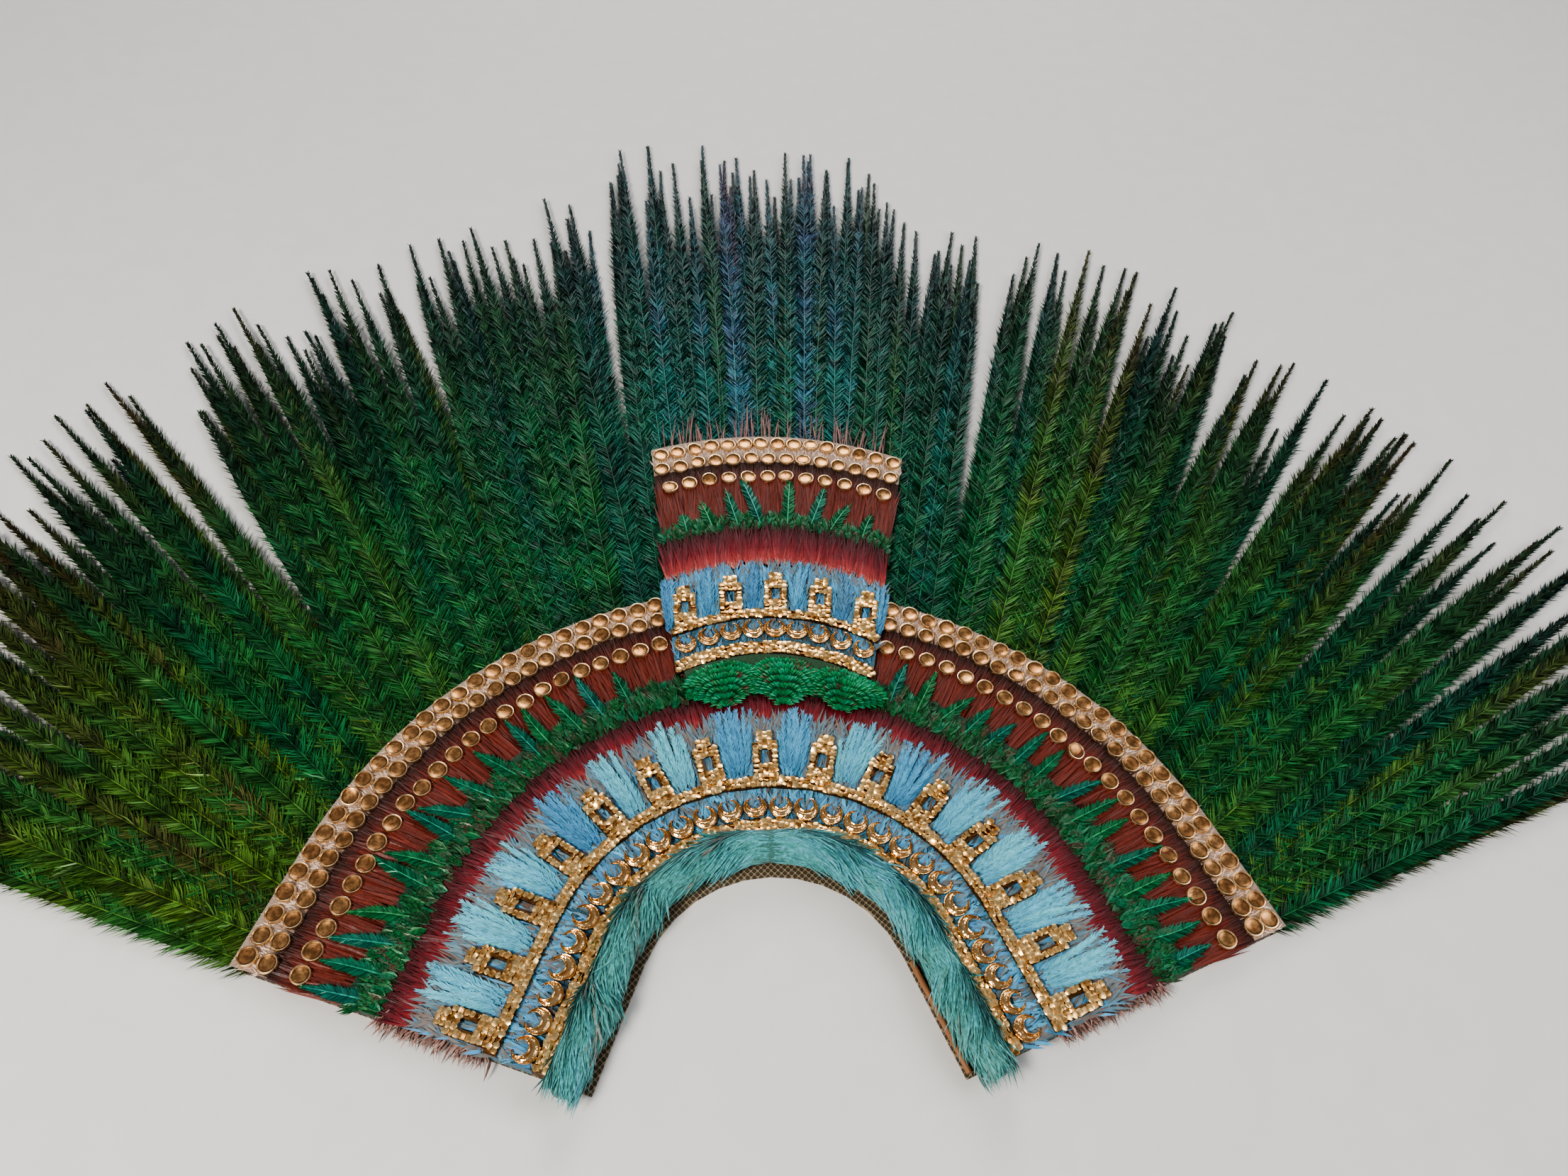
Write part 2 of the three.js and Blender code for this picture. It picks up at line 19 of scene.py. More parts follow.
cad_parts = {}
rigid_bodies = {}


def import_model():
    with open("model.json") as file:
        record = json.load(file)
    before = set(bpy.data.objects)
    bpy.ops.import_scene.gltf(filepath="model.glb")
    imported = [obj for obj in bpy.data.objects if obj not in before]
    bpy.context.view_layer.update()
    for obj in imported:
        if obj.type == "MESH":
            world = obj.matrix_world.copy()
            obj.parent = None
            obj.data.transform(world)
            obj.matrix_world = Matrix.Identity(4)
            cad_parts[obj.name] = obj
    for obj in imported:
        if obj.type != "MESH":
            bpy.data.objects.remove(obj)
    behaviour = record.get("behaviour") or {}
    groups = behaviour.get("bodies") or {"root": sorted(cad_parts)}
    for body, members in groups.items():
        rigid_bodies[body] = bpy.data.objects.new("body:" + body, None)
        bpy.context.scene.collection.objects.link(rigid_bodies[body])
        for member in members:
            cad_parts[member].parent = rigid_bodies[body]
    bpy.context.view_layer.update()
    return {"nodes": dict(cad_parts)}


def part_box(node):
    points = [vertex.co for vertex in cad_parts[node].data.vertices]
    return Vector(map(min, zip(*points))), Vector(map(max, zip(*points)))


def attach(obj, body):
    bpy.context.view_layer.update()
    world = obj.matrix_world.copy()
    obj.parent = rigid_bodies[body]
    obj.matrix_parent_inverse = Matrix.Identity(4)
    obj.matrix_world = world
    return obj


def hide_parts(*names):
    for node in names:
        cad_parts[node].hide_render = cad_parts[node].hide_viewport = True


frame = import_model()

LOG = logging.getLogger("headdress")
MM = 0.001
UP = np.array([0.0, 0.0, 1.0])
BODY = "root"
Colour = tuple[float, float, float]
Stops = tuple[tuple[float, Colour], ...]
WHITE: Colour = (1.0, 1.0, 1.0)


# ---- Shader maths ------------------------------------------------------------------------------------


class Value:
    """One output socket of a material, with the operators that its maths needs."""

    def __init__(self, tree: "Tree", socket: bpy.types.NodeSocket) -> None:
        """Wraps a socket.

        Args:
            tree: the material that the socket is in.
            socket: the output socket.
        """
        self.tree = tree
        self.socket = socket

    def _math(self, operation: str, *others: "Value | float", clamp: bool = False) -> "Value":
        """A Math node on this value and others."""
        inputs = dict(enumerate((self, *others)))
        return self.tree.node("ShaderNodeMath", inputs, operation=operation, use_clamp=clamp)

    def __add__(self, other: "Value | float") -> "Value":
        """Sum."""
        return self._math("ADD", other)

    def __sub__(self, other: "Value | float") -> "Value":
        """Difference."""
        return self._math("SUBTRACT", other)

    def __rsub__(self, other: float) -> "Value":
        """Difference from a number."""
        return (self * -1.0) + other

    def __mul__(self, other: "Value | float") -> "Value":
        """Product."""
        return self._math("MULTIPLY", other)

    def __truediv__(self, other: "Value | float") -> "Value":
        """Quotient."""
        return self._math("DIVIDE", other)

    def __mod__(self, other: float) -> "Value":
        """Remainder, never negative."""
        return self._math("FLOORED_MODULO", other)

    __radd__ = __add__
    __rmul__ = __mul__

    def floor(self) -> "Value":
        """The whole number below."""
        return self._math("FLOOR")

    def abs(self) -> "Value":
        """Size without sign."""
        return self._math("ABSOLUTE")

    def sin(self) -> "Value":
        """Sine."""
        return self._math("SINE")

    def ramp(self, *stops: tuple[float, Colour]) -> "Value":
        """A colour ramp read at this value."""
        return self.tree.node("ShaderNodeValToRGB", {"Fac": self}, stops=stops)

    def spread(self, low: float, high: float, to_low: float = 0.0, to_high: float = 1.0) -> "Value":
        """This value, moved smoothly from one range to another and held at its ends."""
        inputs = {"Value": self, "From Min": low, "From Max": high, "To Min": to_low, "To Max": to_high}
        return self.tree.node("ShaderNodeMapRange", inputs, interpolation_type="SMOOTHSTEP")


class Tree:
    """A material being built round one Principled shader."""

    def __init__(self, name: str) -> None:
        """Starts a material.

        Args:
            name: the material's name.
        """
        self.material = bpy.data.materials.new(name)
        self.material.use_nodes = True
        self.nodes = self.material.node_tree.nodes
        self.shader = self.nodes["Principled BSDF"]

    def node(self, kind: str, inputs: dict | None = None, output: int | str = 0, **settings) -> Value:
        """Adds a node.

        Args:
            kind: the node's type.
            inputs: values or links, by the input's name or number.
            output: the output that is wanted, by name or number.
            **settings: the node's own settings, set first, and a ramp's stops.

        Returns:
            The wanted output.
        """
        made = self.nodes.new(kind)
        stops = settings.pop("stops", None)
        for key, setting in settings.items():
            setattr(made, key, setting)
        if stops:
            elements = made.color_ramp.elements
            while len(elements) < len(stops):
                elements.new(1.0)
            for element, (place, colour) in zip(elements, stops):
                element.position = place
                element.color = (*colour, 1.0)
        for key, given in (inputs or {}).items():
            self.connect(made.inputs[key], given)
        return Value(self, made.outputs[output])

    def connect(self, socket: bpy.types.NodeSocket, given: "Value | float | Sequence[float]") -> None:
        """Links a value to an input, or sets it there."""
        if isinstance(given, Value):
            self.material.node_tree.links.new(given.socket, socket)
        else:
            socket.default_value = given

    def mix(self, share: "Value | float", first: "Value | Sequence[float]",
            second: "Value | Sequence[float]", blend: str = "MIX") -> Value:
        """Two colours mixed by a share."""
        inputs = {0: share, 6: first, 7: second}
        return self.node("ShaderNodeMix", inputs, output=2, data_type="RGBA", blend_type=blend)

    def noise(self, vector: Value, scale: float, detail: float = 2.0, roughness: float = 0.5) -> Value:
        """A noise texture's value."""
        inputs = {"Vector": vector, "Scale": scale, "Detail": detail, "Roughness": roughness}
        return self.node("ShaderNodeTexNoise", inputs)

    def place(self) -> Value:
        """The place on the object, in metres."""
        return self.node("ShaderNodeTexCoord", output="Object")

    def axis(self, vector: Value, name: str) -> Value:
        """One axis of a vector."""
        return self.node("ShaderNodeSeparateXYZ", {0: vector}, output=name)

    def vector(self, x: "Value | float", y: "Value | float", z: "Value | float" = 0.0) -> Value:
        """A vector of three values."""
        return self.node("ShaderNodeCombineXYZ", {0: x, 1: y, 2: z})

    def finish(self, bump: Value | None = None, depth: float = 0.0, **sockets) -> bpy.types.Material:
        """Sets the shader's sockets.

        Args:
            bump: a height for the bump, if there is one.
            depth: the bump's full height, in metres.
            **sockets: the shader's inputs, with _ for a space in their names.

        Returns:
            The material.
        """
        for key, given in sockets.items():
            self.connect(self.shader.inputs[key.replace("_", " ")], given)
        if bump is not None:
            normal = self.node("ShaderNodeBump", {"Height": bump, "Distance": depth, "Strength": 1.0},
                "Normal")
            self.connect(self.shader.inputs["Normal"], normal)
        return self.material


# ---- Finishes ----------------------------------------------------------------------------------------

COLUMNS = 32  # tints on a feather finish's map, side by side
FEATHER_MAP = "OFBake"  # the map that every feather strip and gold piece carries
CELLS = 8  # kinds of cup or plate on their map, side by side
CELL_HALF = 0.42  # half a cup's width in its cell


@dataclass(frozen=True)
class FeatherFinish:
    """Feather, coloured by tint across its map's columns, by the way along, and from shaft to barb's end.

    The three ramps are multiplied, so one holds the colours and the others shade it. The tint drifts along
    each feather, and short clumps of barbs are lighter or darker: partly random tone, partly painted glints.
    """

    name: str
    tints: Stops
    along: Stops = ((0.0, WHITE),)
    across: Stops = ((0.0, WHITE),)
    drift: float = 0.25
    drift_waves: float = 6.0
    clumps: float = 0.3
    clump_waves: float = 60.0
    roughness: float = 0.5
    metallic: float = 0.0
    sheen: float = 0.0

    def build(self) -> bpy.types.Material:
        """Makes the material."""
        tree = Tree(self.name)
        spot = tree.node("ShaderNodeUVMap", uv_map=FEATHER_MAP)
        columns = tree.axis(spot, "X") * COLUMNS
        along = tree.axis(spot, "Y")
        tint = (columns.floor() + 0.5) / COLUMNS
        across = (columns % 1.0 - 0.1) / 0.8
        slow = tree.noise(tree.vector(tint * 61.0, along * self.drift_waves), 1.0, detail=3.0)
        clump_tone_and_glint = tree.noise(tree.vector(tint * 83.0, along * self.clump_waves, across * 0.7), 1.0, detail=2.0)
        hue = tint + (slow - 0.5) * self.drift * 2.0
        colour = tree.mix(1.0, hue.ramp(*self.tints), along.ramp(*self.along), "MULTIPLY")
        colour = tree.mix(1.0, colour, across.ramp(*self.across), "MULTIPLY")
        # lighter and darker clumps of barbs: random tone and painted glints, with the roughness varied alike
        light = clump_tone_and_glint.spread(0.3, 0.7, 1.0 - self.clumps, 1.0 + self.clumps)
        colour = tree.mix(1.0, colour, tree.vector(light, light, light), "MULTIPLY")
        rough = clump_tone_and_glint.spread(0.3, 0.7, self.roughness - 0.08, self.roughness + 0.08)
        return tree.finish(Base_Color=colour, Roughness=rough, Metallic=self.metallic,
            Sheen_Weight=self.sheen)


@dataclass(frozen=True)
class CupFinish:
    """Gold of a cup, read from its own flat map: a painted highlight on the lip, a painted shade line inside
    it, and a worn dish.
    """

    name: str
    # lip: colour of the painted highlight on the lip; line: colour of the painted shade inside it
    lip: Colour
    line: Colour
    dish: Stops
    roughness: tuple[float, float] = (0.22, 0.42)

    def build(self) -> bpy.types.Material:
        """Makes the material."""
        tree = Tree(self.name)
        spot = tree.node("ShaderNodeUVMap", uv_map=FEATHER_MAP)
        columns = tree.axis(spot, "X") * CELLS
        column = columns.floor()
        flat = tree.vector((columns - column - 0.5) / CELL_HALF, (tree.axis(spot, "Y") - 0.5) / CELL_HALF)
        out = tree.node("ShaderNodeVectorMath", {0: flat}, output="Value", operation="LENGTH")
        shifted = tree.node("ShaderNodeVectorMath", {0: flat, 1: tree.vector(column * 7.3, 0.0)},
            operation="ADD")
        wear = tree.noise(shifted, 1.6, detail=4.0, roughness=0.6)
        shade = wear * 0.75 + (column * 0.381) % 0.25
        # painted shade: the dark line just inside the lip
        colour = tree.mix(out.spread(0.62, 0.74), shade.ramp(*self.dish), (*self.line, 1.0))
        # painted highlight: the bright lip
        colour = tree.mix(out.spread(0.78, 0.86), colour, (*self.lip, 1.0))
        rough = wear.spread(0.35, 0.7, *self.roughness)
        return tree.finish(Base_Color=colour, Roughness=rough, Metallic=1.0)


@dataclass(frozen=True)
class PlateFinish:
    """Gold of the small plates: each plate painted its own light, from pale and bright as if lit to brown as
    if in shade.
    """

    name: str
    lit_and_shaded_golds: Stops
    roughness: float = 0.28

    def build(self) -> bpy.types.Material:
        """Makes the material."""
        tree = Tree(self.name)
        spot = tree.node("ShaderNodeUVMap", uv_map=FEATHER_MAP)
        columns = tree.axis(spot, "X") * CELLS
        column = columns.floor()
        wear = tree.noise(tree.vector(columns * 2.0, tree.axis(spot, "Y") * 2.5), 1.0, detail=3.0)
        # painted light: each plate's cell sets how lit or shaded it is painted, and the wear noise varies it
        # within the plate
        shade = (column + 0.5) / CELLS + (wear - 0.5) * 0.4
        rough = wear.spread(0.3, 0.7, self.roughness - 0.08, self.roughness + 0.12)
        return tree.finish(Base_Color=shade.ramp(*self.lit_and_shaded_golds), Roughness=rough, Metallic=1.0)


@dataclass(frozen=True)
class FeltFinish:
    """The dense ground under a band's feathers, mottled between two colours."""

    name: str
    dark: Colour
    light: Colour
    scale: float = 900.0

    def build(self) -> bpy.types.Material:
        """Makes the material."""
        tree = Tree(self.name)
        grain = tree.noise(tree.place(), self.scale, detail=4.0, roughness=0.6)
        colour = grain.ramp((0.35, self.dark), (0.7, self.light))
        return tree.finish(grain, 0.0012, Base_Color=colour, Roughness=0.85, Sheen_Weight=0.2)


@dataclass(frozen=True)
class GoldFinish:
    """Beaten gold: soft dents, and duller, redder patches of tarnish."""

    name: str
    bright: Colour
    dull: Colour
    roughness: tuple[float, float] = (0.22, 0.42)
    dents: float = 0.0005
    dent_scale: float = 420.0

    def build(self) -> bpy.types.Material:
        """Makes the material."""
        tree = Tree(self.name)
        place = tree.place()
        tarnish = tree.noise(place, 90.0, detail=5.0, roughness=0.65)
        dents = tree.noise(place, self.dent_scale, detail=1.5)
        colour = tarnish.ramp((0.38, self.bright), (0.62, self.dull))
        rough = tarnish.spread(0.35, 0.7, *self.roughness)
        return tree.finish(dents, self.dents, Base_Color=colour, Roughness=rough, Metallic=1.0)


@dataclass(frozen=True)
class NetFinish:
    """Coarse knotted net: crossing threads that stand proud, with darker holes between them."""

    name: str
    thread: Colour
    hole: Colour
    pitch: float = 5.0  # between threads, mm

    def build(self) -> bpy.types.Material:
        """Makes the material."""
        tree = Tree(self.name)
        place = tree.place()
        turn = math.pi / (self.pitch * MM)
        slant = (tree.axis(place, "X") + tree.axis(place, "Y")) * turn
        counter = (tree.axis(place, "X") - tree.axis(place, "Y")) * turn
        holes = slant.sin().abs() * counter.sin().abs()
        threads = holes.spread(0.15, 0.55, 1.0, 0.0)
        fibre = tree.noise(place, 1500.0, detail=3.0)
        colour = tree.mix(threads, (*self.hole, 1.0), (*self.thread, 1.0))
        colour = tree.mix(fibre * 0.5, colour, (*self.hole, 1.0))
        return tree.finish(threads + fibre * 0.2, 0.0012, Base_Color=colour, Roughness=0.9)


@dataclass(frozen=True)
class CaneFinish:
    """Split cane: long fibres and a few darker nodes along it."""

    name: str
    light: Colour
    dark: Colour
    turn: float  # of the cane's length from +Y, radians

    def build(self) -> bpy.types.Material:
        """Makes the material."""
        tree = Tree(self.name)
        lay = tree.node("ShaderNodeMapping", {"Vector": tree.place(), "Rotation": (0.0, 0.0, self.turn)})
        fibres = tree.node("ShaderNodeMapping", {"Vector": lay, "Scale": (1800.0, 60.0, 1800.0)})
        grain = tree.noise(fibres, 1.0, detail=3.0)
        colour = grain.ramp((0.3, self.dark), (0.7, self.light))
        return tree.finish(grain, 0.0003, Base_Color=colour, Roughness=0.55)


@dataclass(frozen=True)
class FloorFinish:
    """A plain pale floor."""

    name: str = "pale_floor"
    colour: Colour = (0.72, 0.70, 0.67)

    def build(self) -> bpy.types.Material:
        """Makes the material."""
        tree = Tree(self.name)
        grain = tree.noise(tree.place(), 30.0)
        colour = grain.ramp((0.3, self.colour), (0.7, tuple(c * 0.97 for c in self.colour)))
        return tree.finish(Base_Color=colour, Roughness=0.8)


PLUMES = FeatherFinish(
    "plume_feather",
    tints=(
        (0.0, (0.085, 0.080, 0.030)),
        (0.12, (0.085, 0.160, 0.030)),
        (0.28, (0.034, 0.150, 0.042)),
        (0.46, (0.014, 0.115, 0.050)),
        (0.62, (0.012, 0.095, 0.065)),
        (0.78, (0.018, 0.150, 0.140)),
        (0.90, (0.045, 0.125, 0.205)),
        (1.0, (0.085, 0.080, 0.115)),
    ),
    # along: the plumes darken towards their tips as painted shade, where light falls off, and turn browner
    # and more violet there; they are darker at the root too
    along=(
        (0.0, (0.55, 0.6, 0.5)), (0.12, (1.05, 1.1, 0.95)), (0.45, (0.95, 1.0, 0.95)),
            (0.68, (0.75, 0.62, 0.7)),
        (0.85, (0.72, 0.40, 0.5)), (1.0, (0.62, 0.28, 0.36)),
    ),
    across=((0.0, (1.5, 1.3, 1.1)), (0.1, (0.35, 0.4, 0.4)), (0.35, (0.9, 0.9, 0.9)), (0.7, (1.1, 1.1, 1.1)),
            (1.0, (0.6, 0.6, 0.6))),
    drift=0.22,
    drift_waves=7.0,
    # clumps: strength of the lighter and darker clumps, random tone and painted glints
    clumps=0.6,
    clump_waves=70.0,
    roughness=0.42,
    metallic=0.4,
)
LEAVES = FeatherFinish(
    "leaf_feather",
    tints=((0.0, (0.022, 0.17, 0.050)), (0.5, (0.014, 0.16, 0.080)), (1.0, (0.016, 0.16, 0.12))),
    along=((0.0, (0.8, 0.8, 0.7)), (0.3, WHITE), (0.85, WHITE), (1.0, (0.9, 0.8, 0.6))),
    across=((0.0, (4.0, 2.2, 2.4)), (0.14, (0.9, 0.95, 0.95)), (0.3, (0.8, 0.8, 0.8)), (0.7, WHITE),
            (1.0, (0.6, 0.62, 0.5))),
    drift=0.15,
    clumps=0.25,
    clump_waves=14.0,
    roughness=0.4,
    metallic=0.3,
)
COVERTS = replace(
    LEAVES,
    name="covert_feather",
    tints=(
        (0.0, (0.012, 0.050, 0.016)),
        (0.5, (0.016, 0.125, 0.034)),
        (0.8, (0.018, 0.160, 0.075)),
        (1.0, (0.090, 0.060, 0.035)),
    ),
    across=((0.0, WHITE),),
    clumps=0.4,
)
CREST_FEATHERS = replace(
    COVERTS,
    name="crest_feather",
    tints=(
        (0.0, (0.14, 0.055, 0.030)),
        (0.10, (0.020, 0.060, 0.020)),
        (0.30, (0.010, 0.150, 0.040)),
        (0.7, (0.012, 0.230, 0.075)),
        (1.0, (0.020, 0.270, 0.140)),
    ),
    along=((0.0, (0.35, 0.35, 0.3)), (0.35, (0.9, 0.9, 0.9)), (0.7, (1.1, 1.1, 1.1)),
    (1.0, (0.35, 0.3, 0.25))),
    drift=0.1,
)
RUFOUS = FeatherFinish(
    "rufous_feather",
    tints=((0.0, (0.7, 0.62, 0.6)), (0.5, WHITE), (1.0, (1.15, 1.0, 0.9))),
    along=(
        (0.0, (0.150, 0.024, 0.012)),
        (0.3, (0.170, 0.028, 0.014)),
        (0.60, (0.160, 0.026, 0.013)),
        (0.72, (0.080, 0.017, 0.010)),
        (0.82, (0.028, 0.011, 0.008)),
        (1.0, (0.022, 0.010, 0.008)),
    ),
    drift=0.3,
    clumps=0.15,
    roughness=0.52,
    sheen=0.1,
)
CRIMSON = FeatherFinish(
    "crimson_feather",
    tints=((0.0, (0.6, 0.5, 0.5)), (0.5, WHITE), (0.85, (1.15, 1.0, 1.0)), (1.0, (1.3, 2.6, 2.4))),
    along=(
        (0.0, (0.55, 0.23, 0.17)),
        (0.18, (0.40, 0.055, 0.050)),
        (0.42, (0.20, 0.012, 0.018)),
        (0.7, (0.10, 0.008, 0.012)),
        (1.0, (0.045, 0.006, 0.008)),
    ),
    drift=0.3,
    clumps=0.2,
    roughness=0.55,
    sheen=0.15,
)
SKY = FeatherFinish(
    "blue_feather",
    tints=(
        (0.0, (0.20, 0.125, 0.095)),
        (0.12, (0.19, 0.185, 0.180)),
        (0.28, (0.15, 0.26, 0.31)),
        (0.45, (0.095, 0.29, 0.50)),
        (0.7, (0.15, 0.46, 0.66)),
        (1.0, (0.22, 0.58, 0.66)),
    ),
    along=((0.0, (0.7, 0.75, 0.8)), (0.25, (0.92, 0.95, 0.95)), (0.8, WHITE), (1.0, (0.9, 0.85, 0.85))),
    across=((0.0, (0.92, 0.95, 0.95)), (0.5, WHITE), (1.0, (0.85, 0.88, 0.9))),
    drift=0.08,
    clumps=0.18,
    clump_waves=12.0,
    roughness=0.55,
    sheen=0.25,
)
TURQUOISE = replace(
    SKY,
    name="roll_feather",
    tints=(
        (0.0, (0.40, 0.26, 0.21)),
        (0.14, (0.25, 0.25, 0.22)),
        (0.3, (0.10, 0.27, 0.23)),
        (0.6, (0.10, 0.35, 0.33)),
        (0.8, (0.13, 0.41, 0.46)),
        (1.0, (0.15, 0.40, 0.52)),
    ),
    across=((0.0, WHITE),),
    drift=0.12,
    clumps=0.3,
)
FUZZ = FeatherFinish(
    "tape_fuzz",
    tints=((0.0, (0.36, 0.19, 0.13)), (0.3, (0.62, 0.44, 0.34)), (1.0, (0.82, 0.66, 0.55))),
    clumps=0.1,
    roughness=0.8,
    sheen=0.3,
)
QUILL = FeatherFinish(
    "bare_quill",
    tints=((0.0, (0.060, 0.018, 0.012)), (0.5, (0.16, 0.045, 0.035)), (1.0, (0.30, 0.12, 0.09))),
    roughness=0.45,
)
WISPS = FeatherFinish(
    "foot_down",
    tints=((0.0, (0.10, 0.05, 0.035)), (0.5, (0.28, 0.15, 0.12)), (1.0, (0.48, 0.30, 0.25))),
    roughness=0.7,
    sheen=0.2,
)
# cup gold: lip is the painted highlight's colour, line the painted shade's colour inside the lip
CUP_GOLD = CupFinish(
    "cup_gold", lip=(0.95, 0.72, 0.44), line=(0.30, 0.15, 0.065),
    dish=((0.2, (0.38, 0.17, 0.07)), (0.5, (0.62, 0.33, 0.15)), (0.8, (0.84, 0.50, 0.24))),
)
CRESCENT_GOLD = GoldFinish("crescent_gold", (0.90, 0.60, 0.30), (0.58, 0.32, 0.14), roughness=(0.16, 0.34))
# plate gold: brown for plates painted in shade, through to pale for plates painted lit
PLATE_GOLD = PlateFinish(
    "plate_gold", ((0.0, (0.46, 0.22, 0.08)), (0.35, (0.88, 0.52, 0.21)), (1.0, (1.0, 0.72, 0.37)))
)
SETTING_GOLD = GoldFinish("setting_gold", (0.30, 0.16, 0.07), (0.13, 0.065, 0.03), roughness=(0.4, 0.6))
NET = NetFinish("knotted_net", (0.42, 0.33, 0.21), (0.10, 0.07, 0.045))


# ---- Places ------------------------------------------------------------------------------------------


def unit(vectors: np.ndarray) -> np.ndarray:
    """Vectors at length one."""
    return vectors / np.linalg.norm(vectors, axis=-1, keepdims=True)


def smooth(low: float, high: float, values: np.ndarray) -> np.ndarray:
    """A smooth step from 0 at low to 1 at high."""
    t = np.clip((values - low) / (high - low), 0.0, 1.0)
    return t * t * (3.0 - 2.0 * t)


def waves(values: np.ndarray, rng: np.random.Generator, longest: float, octaves: int = 4) -> np.ndarray:
    """Smooth ups and downs between about -1 and 1.

    Args:
        values: where they are read.
        rng: gives the phases.
        longest: the longest wave's length, in the values' units.
        octaves: how many waves, each about half as long as the last.

    Returns:
        One number for each value.
    """
    total = np.zeros_like(values, dtype=float)
    for octave in range(octaves):
        length = longest / (1.9**octave)
        total += np.sin(values * 2 * math.pi / length + rng.uniform(0, 2 * math.pi)) * 0.62**octave
    return total / 1.8


@dataclass(frozen=True)
class Places:
    """Places on a ground: points, and the directions outwards and along there."""

    point: np.ndarray
    out: np.ndarray
    along: np.ndarray

    def raised(self, height: np.ndarray | float) -> np.ndarray:
        """The points at a height."""
        lifted = self.point.copy()
        lifted[:, 2] = height
        return lifted


@dataclass(frozen=True)
class Horseshoe:
    """The horseshoe: an arc about a centre with a straight leg on each side."""

    centre: np.ndarray
    radius: float = 146.0
    spread: float = math.radians(69.2)
    leg: float = 92.0
    backing_edge: float = 213.0

    @classmethod
    def from_frame(cls) -> "Horseshoe":
        """Finds the centre from the backing, whose outer edge passes over the crown."""
        low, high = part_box("backing")
        top = high.y / MM - cls.radius - cls.backing_edge
        return cls(centre=np.array([(low.x + high.x) / 2 / MM, top, 0.0]))

    def reach(self, offset: float) -> float:
        """The length from the crown to a leg's end along an offset."""
        return (self.radius + offset) * self.spread + self.leg

    def at(self, length: np.ndarray, offset: np.ndarray | float, row: float) -> Places:
        """Places at lengths measured along a row, and at offsets.

        Args:
            length: lengths from the crown along the row.
            offset: offsets of the places themselves.
            row: the offset of the row along which the lengths run.

        Returns:
            The places.
        """
        length = np.atleast_1d(np.asarray(length, float))
        turn = np.clip(length / (self.radius + row), -self.spread, self.spread)
        beyond = length - turn * (self.radius + row)
        flat = np.zeros_like(turn)
        out = np.stack([np.sin(turn), np.cos(turn), flat], -1)
        along = np.stack([np.cos(turn), -np.sin(turn), flat], -1)
        distance = (self.radius + np.broadcast_to(offset, turn.shape))[:, None]
        return Places(self.centre + out * distance + along * beyond[:, None], out, along)


@dataclass(frozen=True)
class Tongue:
    """The raised tongue: rows that sag from its middle to its sides and widen upwards, leaning a little."""

    centre: np.ndarray
    foot: float = 288.0
    height: float = 255.0
    foot_half: float = 80.0
    top_half: float = 119.0
    sag: float = 24.0
    lean: float = math.radians(-3.5)
    shift: float = 12.5

    def half(self, up: np.ndarray | float) -> np.ndarray | float:
        """Half the width at a height."""
        return self.foot_half + (self.top_half - self.foot_half) * up / self.height

    def reach(self, offset: float) -> float:
        """Half the width at a height, as a row's length from its middle."""
        return float(self.half(offset))

    def _turned(self, x: np.ndarray, y: np.ndarray) -> np.ndarray:
        """A direction on the tongue, leaned."""
        c, s = math.cos(self.lean), math.sin(self.lean)
        return np.stack([x * c - y * s, x * s + y * c, np.zeros_like(x)], -1)

    def at(self, length: np.ndarray, offset: np.ndarray | float, row: float) -> Places:
        """Places at lengths from the middle measured along a row, and at heights up the tongue.

        Args:
            length: lengths from the middle along the row.
            offset: heights of the places themselves.
            row: the height of the row along which the lengths run.

        Returns:
            The places.
        """
        length = np.atleast_1d(np.asarray(length, float))
        across = length / self.half(row)
        up = np.broadcast_to(np.asarray(offset, float), across.shape)
        flat = self._turned(across * self.half(up), up - self.sag * across**2)
        point = self.centre + flat + np.array([self.shift, self.foot, 0.0])
        widening = (self.top_half - self.foot_half) / self.height
        out = unit(self._turned(across * widening, np.ones_like(across)))
        along = unit(self._turned(np.full_like(across, self.half(row)), -2 * self.sag * across))
        return Places(point, out, along)


Ground = Horseshoe | Tongue


# ---- Meshes of many strips ---------------------------------------------------------------------------


def patch(tint: np.ndarray | float, across: tuple[float, float], along: tuple) -> np.ndarray:
    """Where strips start and end on their finish's map.

    Args:
        tint: each strip's tint, from 0 to 1.
        across: share of the way from shaft to barb's end, at the start and the end.
        along: share of the way along the feather or band, at the start and the end.

    Returns:
        Rows of start u, start v, end u and end v.
    """
    column = np.floor(np.clip(tint, 0.0, 0.999) * COLUMNS)
    start = (column + 0.1 + 0.8 * across[0]) / COLUMNS
    end = (column + 0.1 + 0.8 * across[1]) / COLUMNS
    parts = np.broadcast_arrays(start, np.clip(along[0], 0.002, 0.998), end, np.clip(along[1], 0.002, 0.998))
    return np.stack([np.atleast_1d(part) for part in parts], -1)


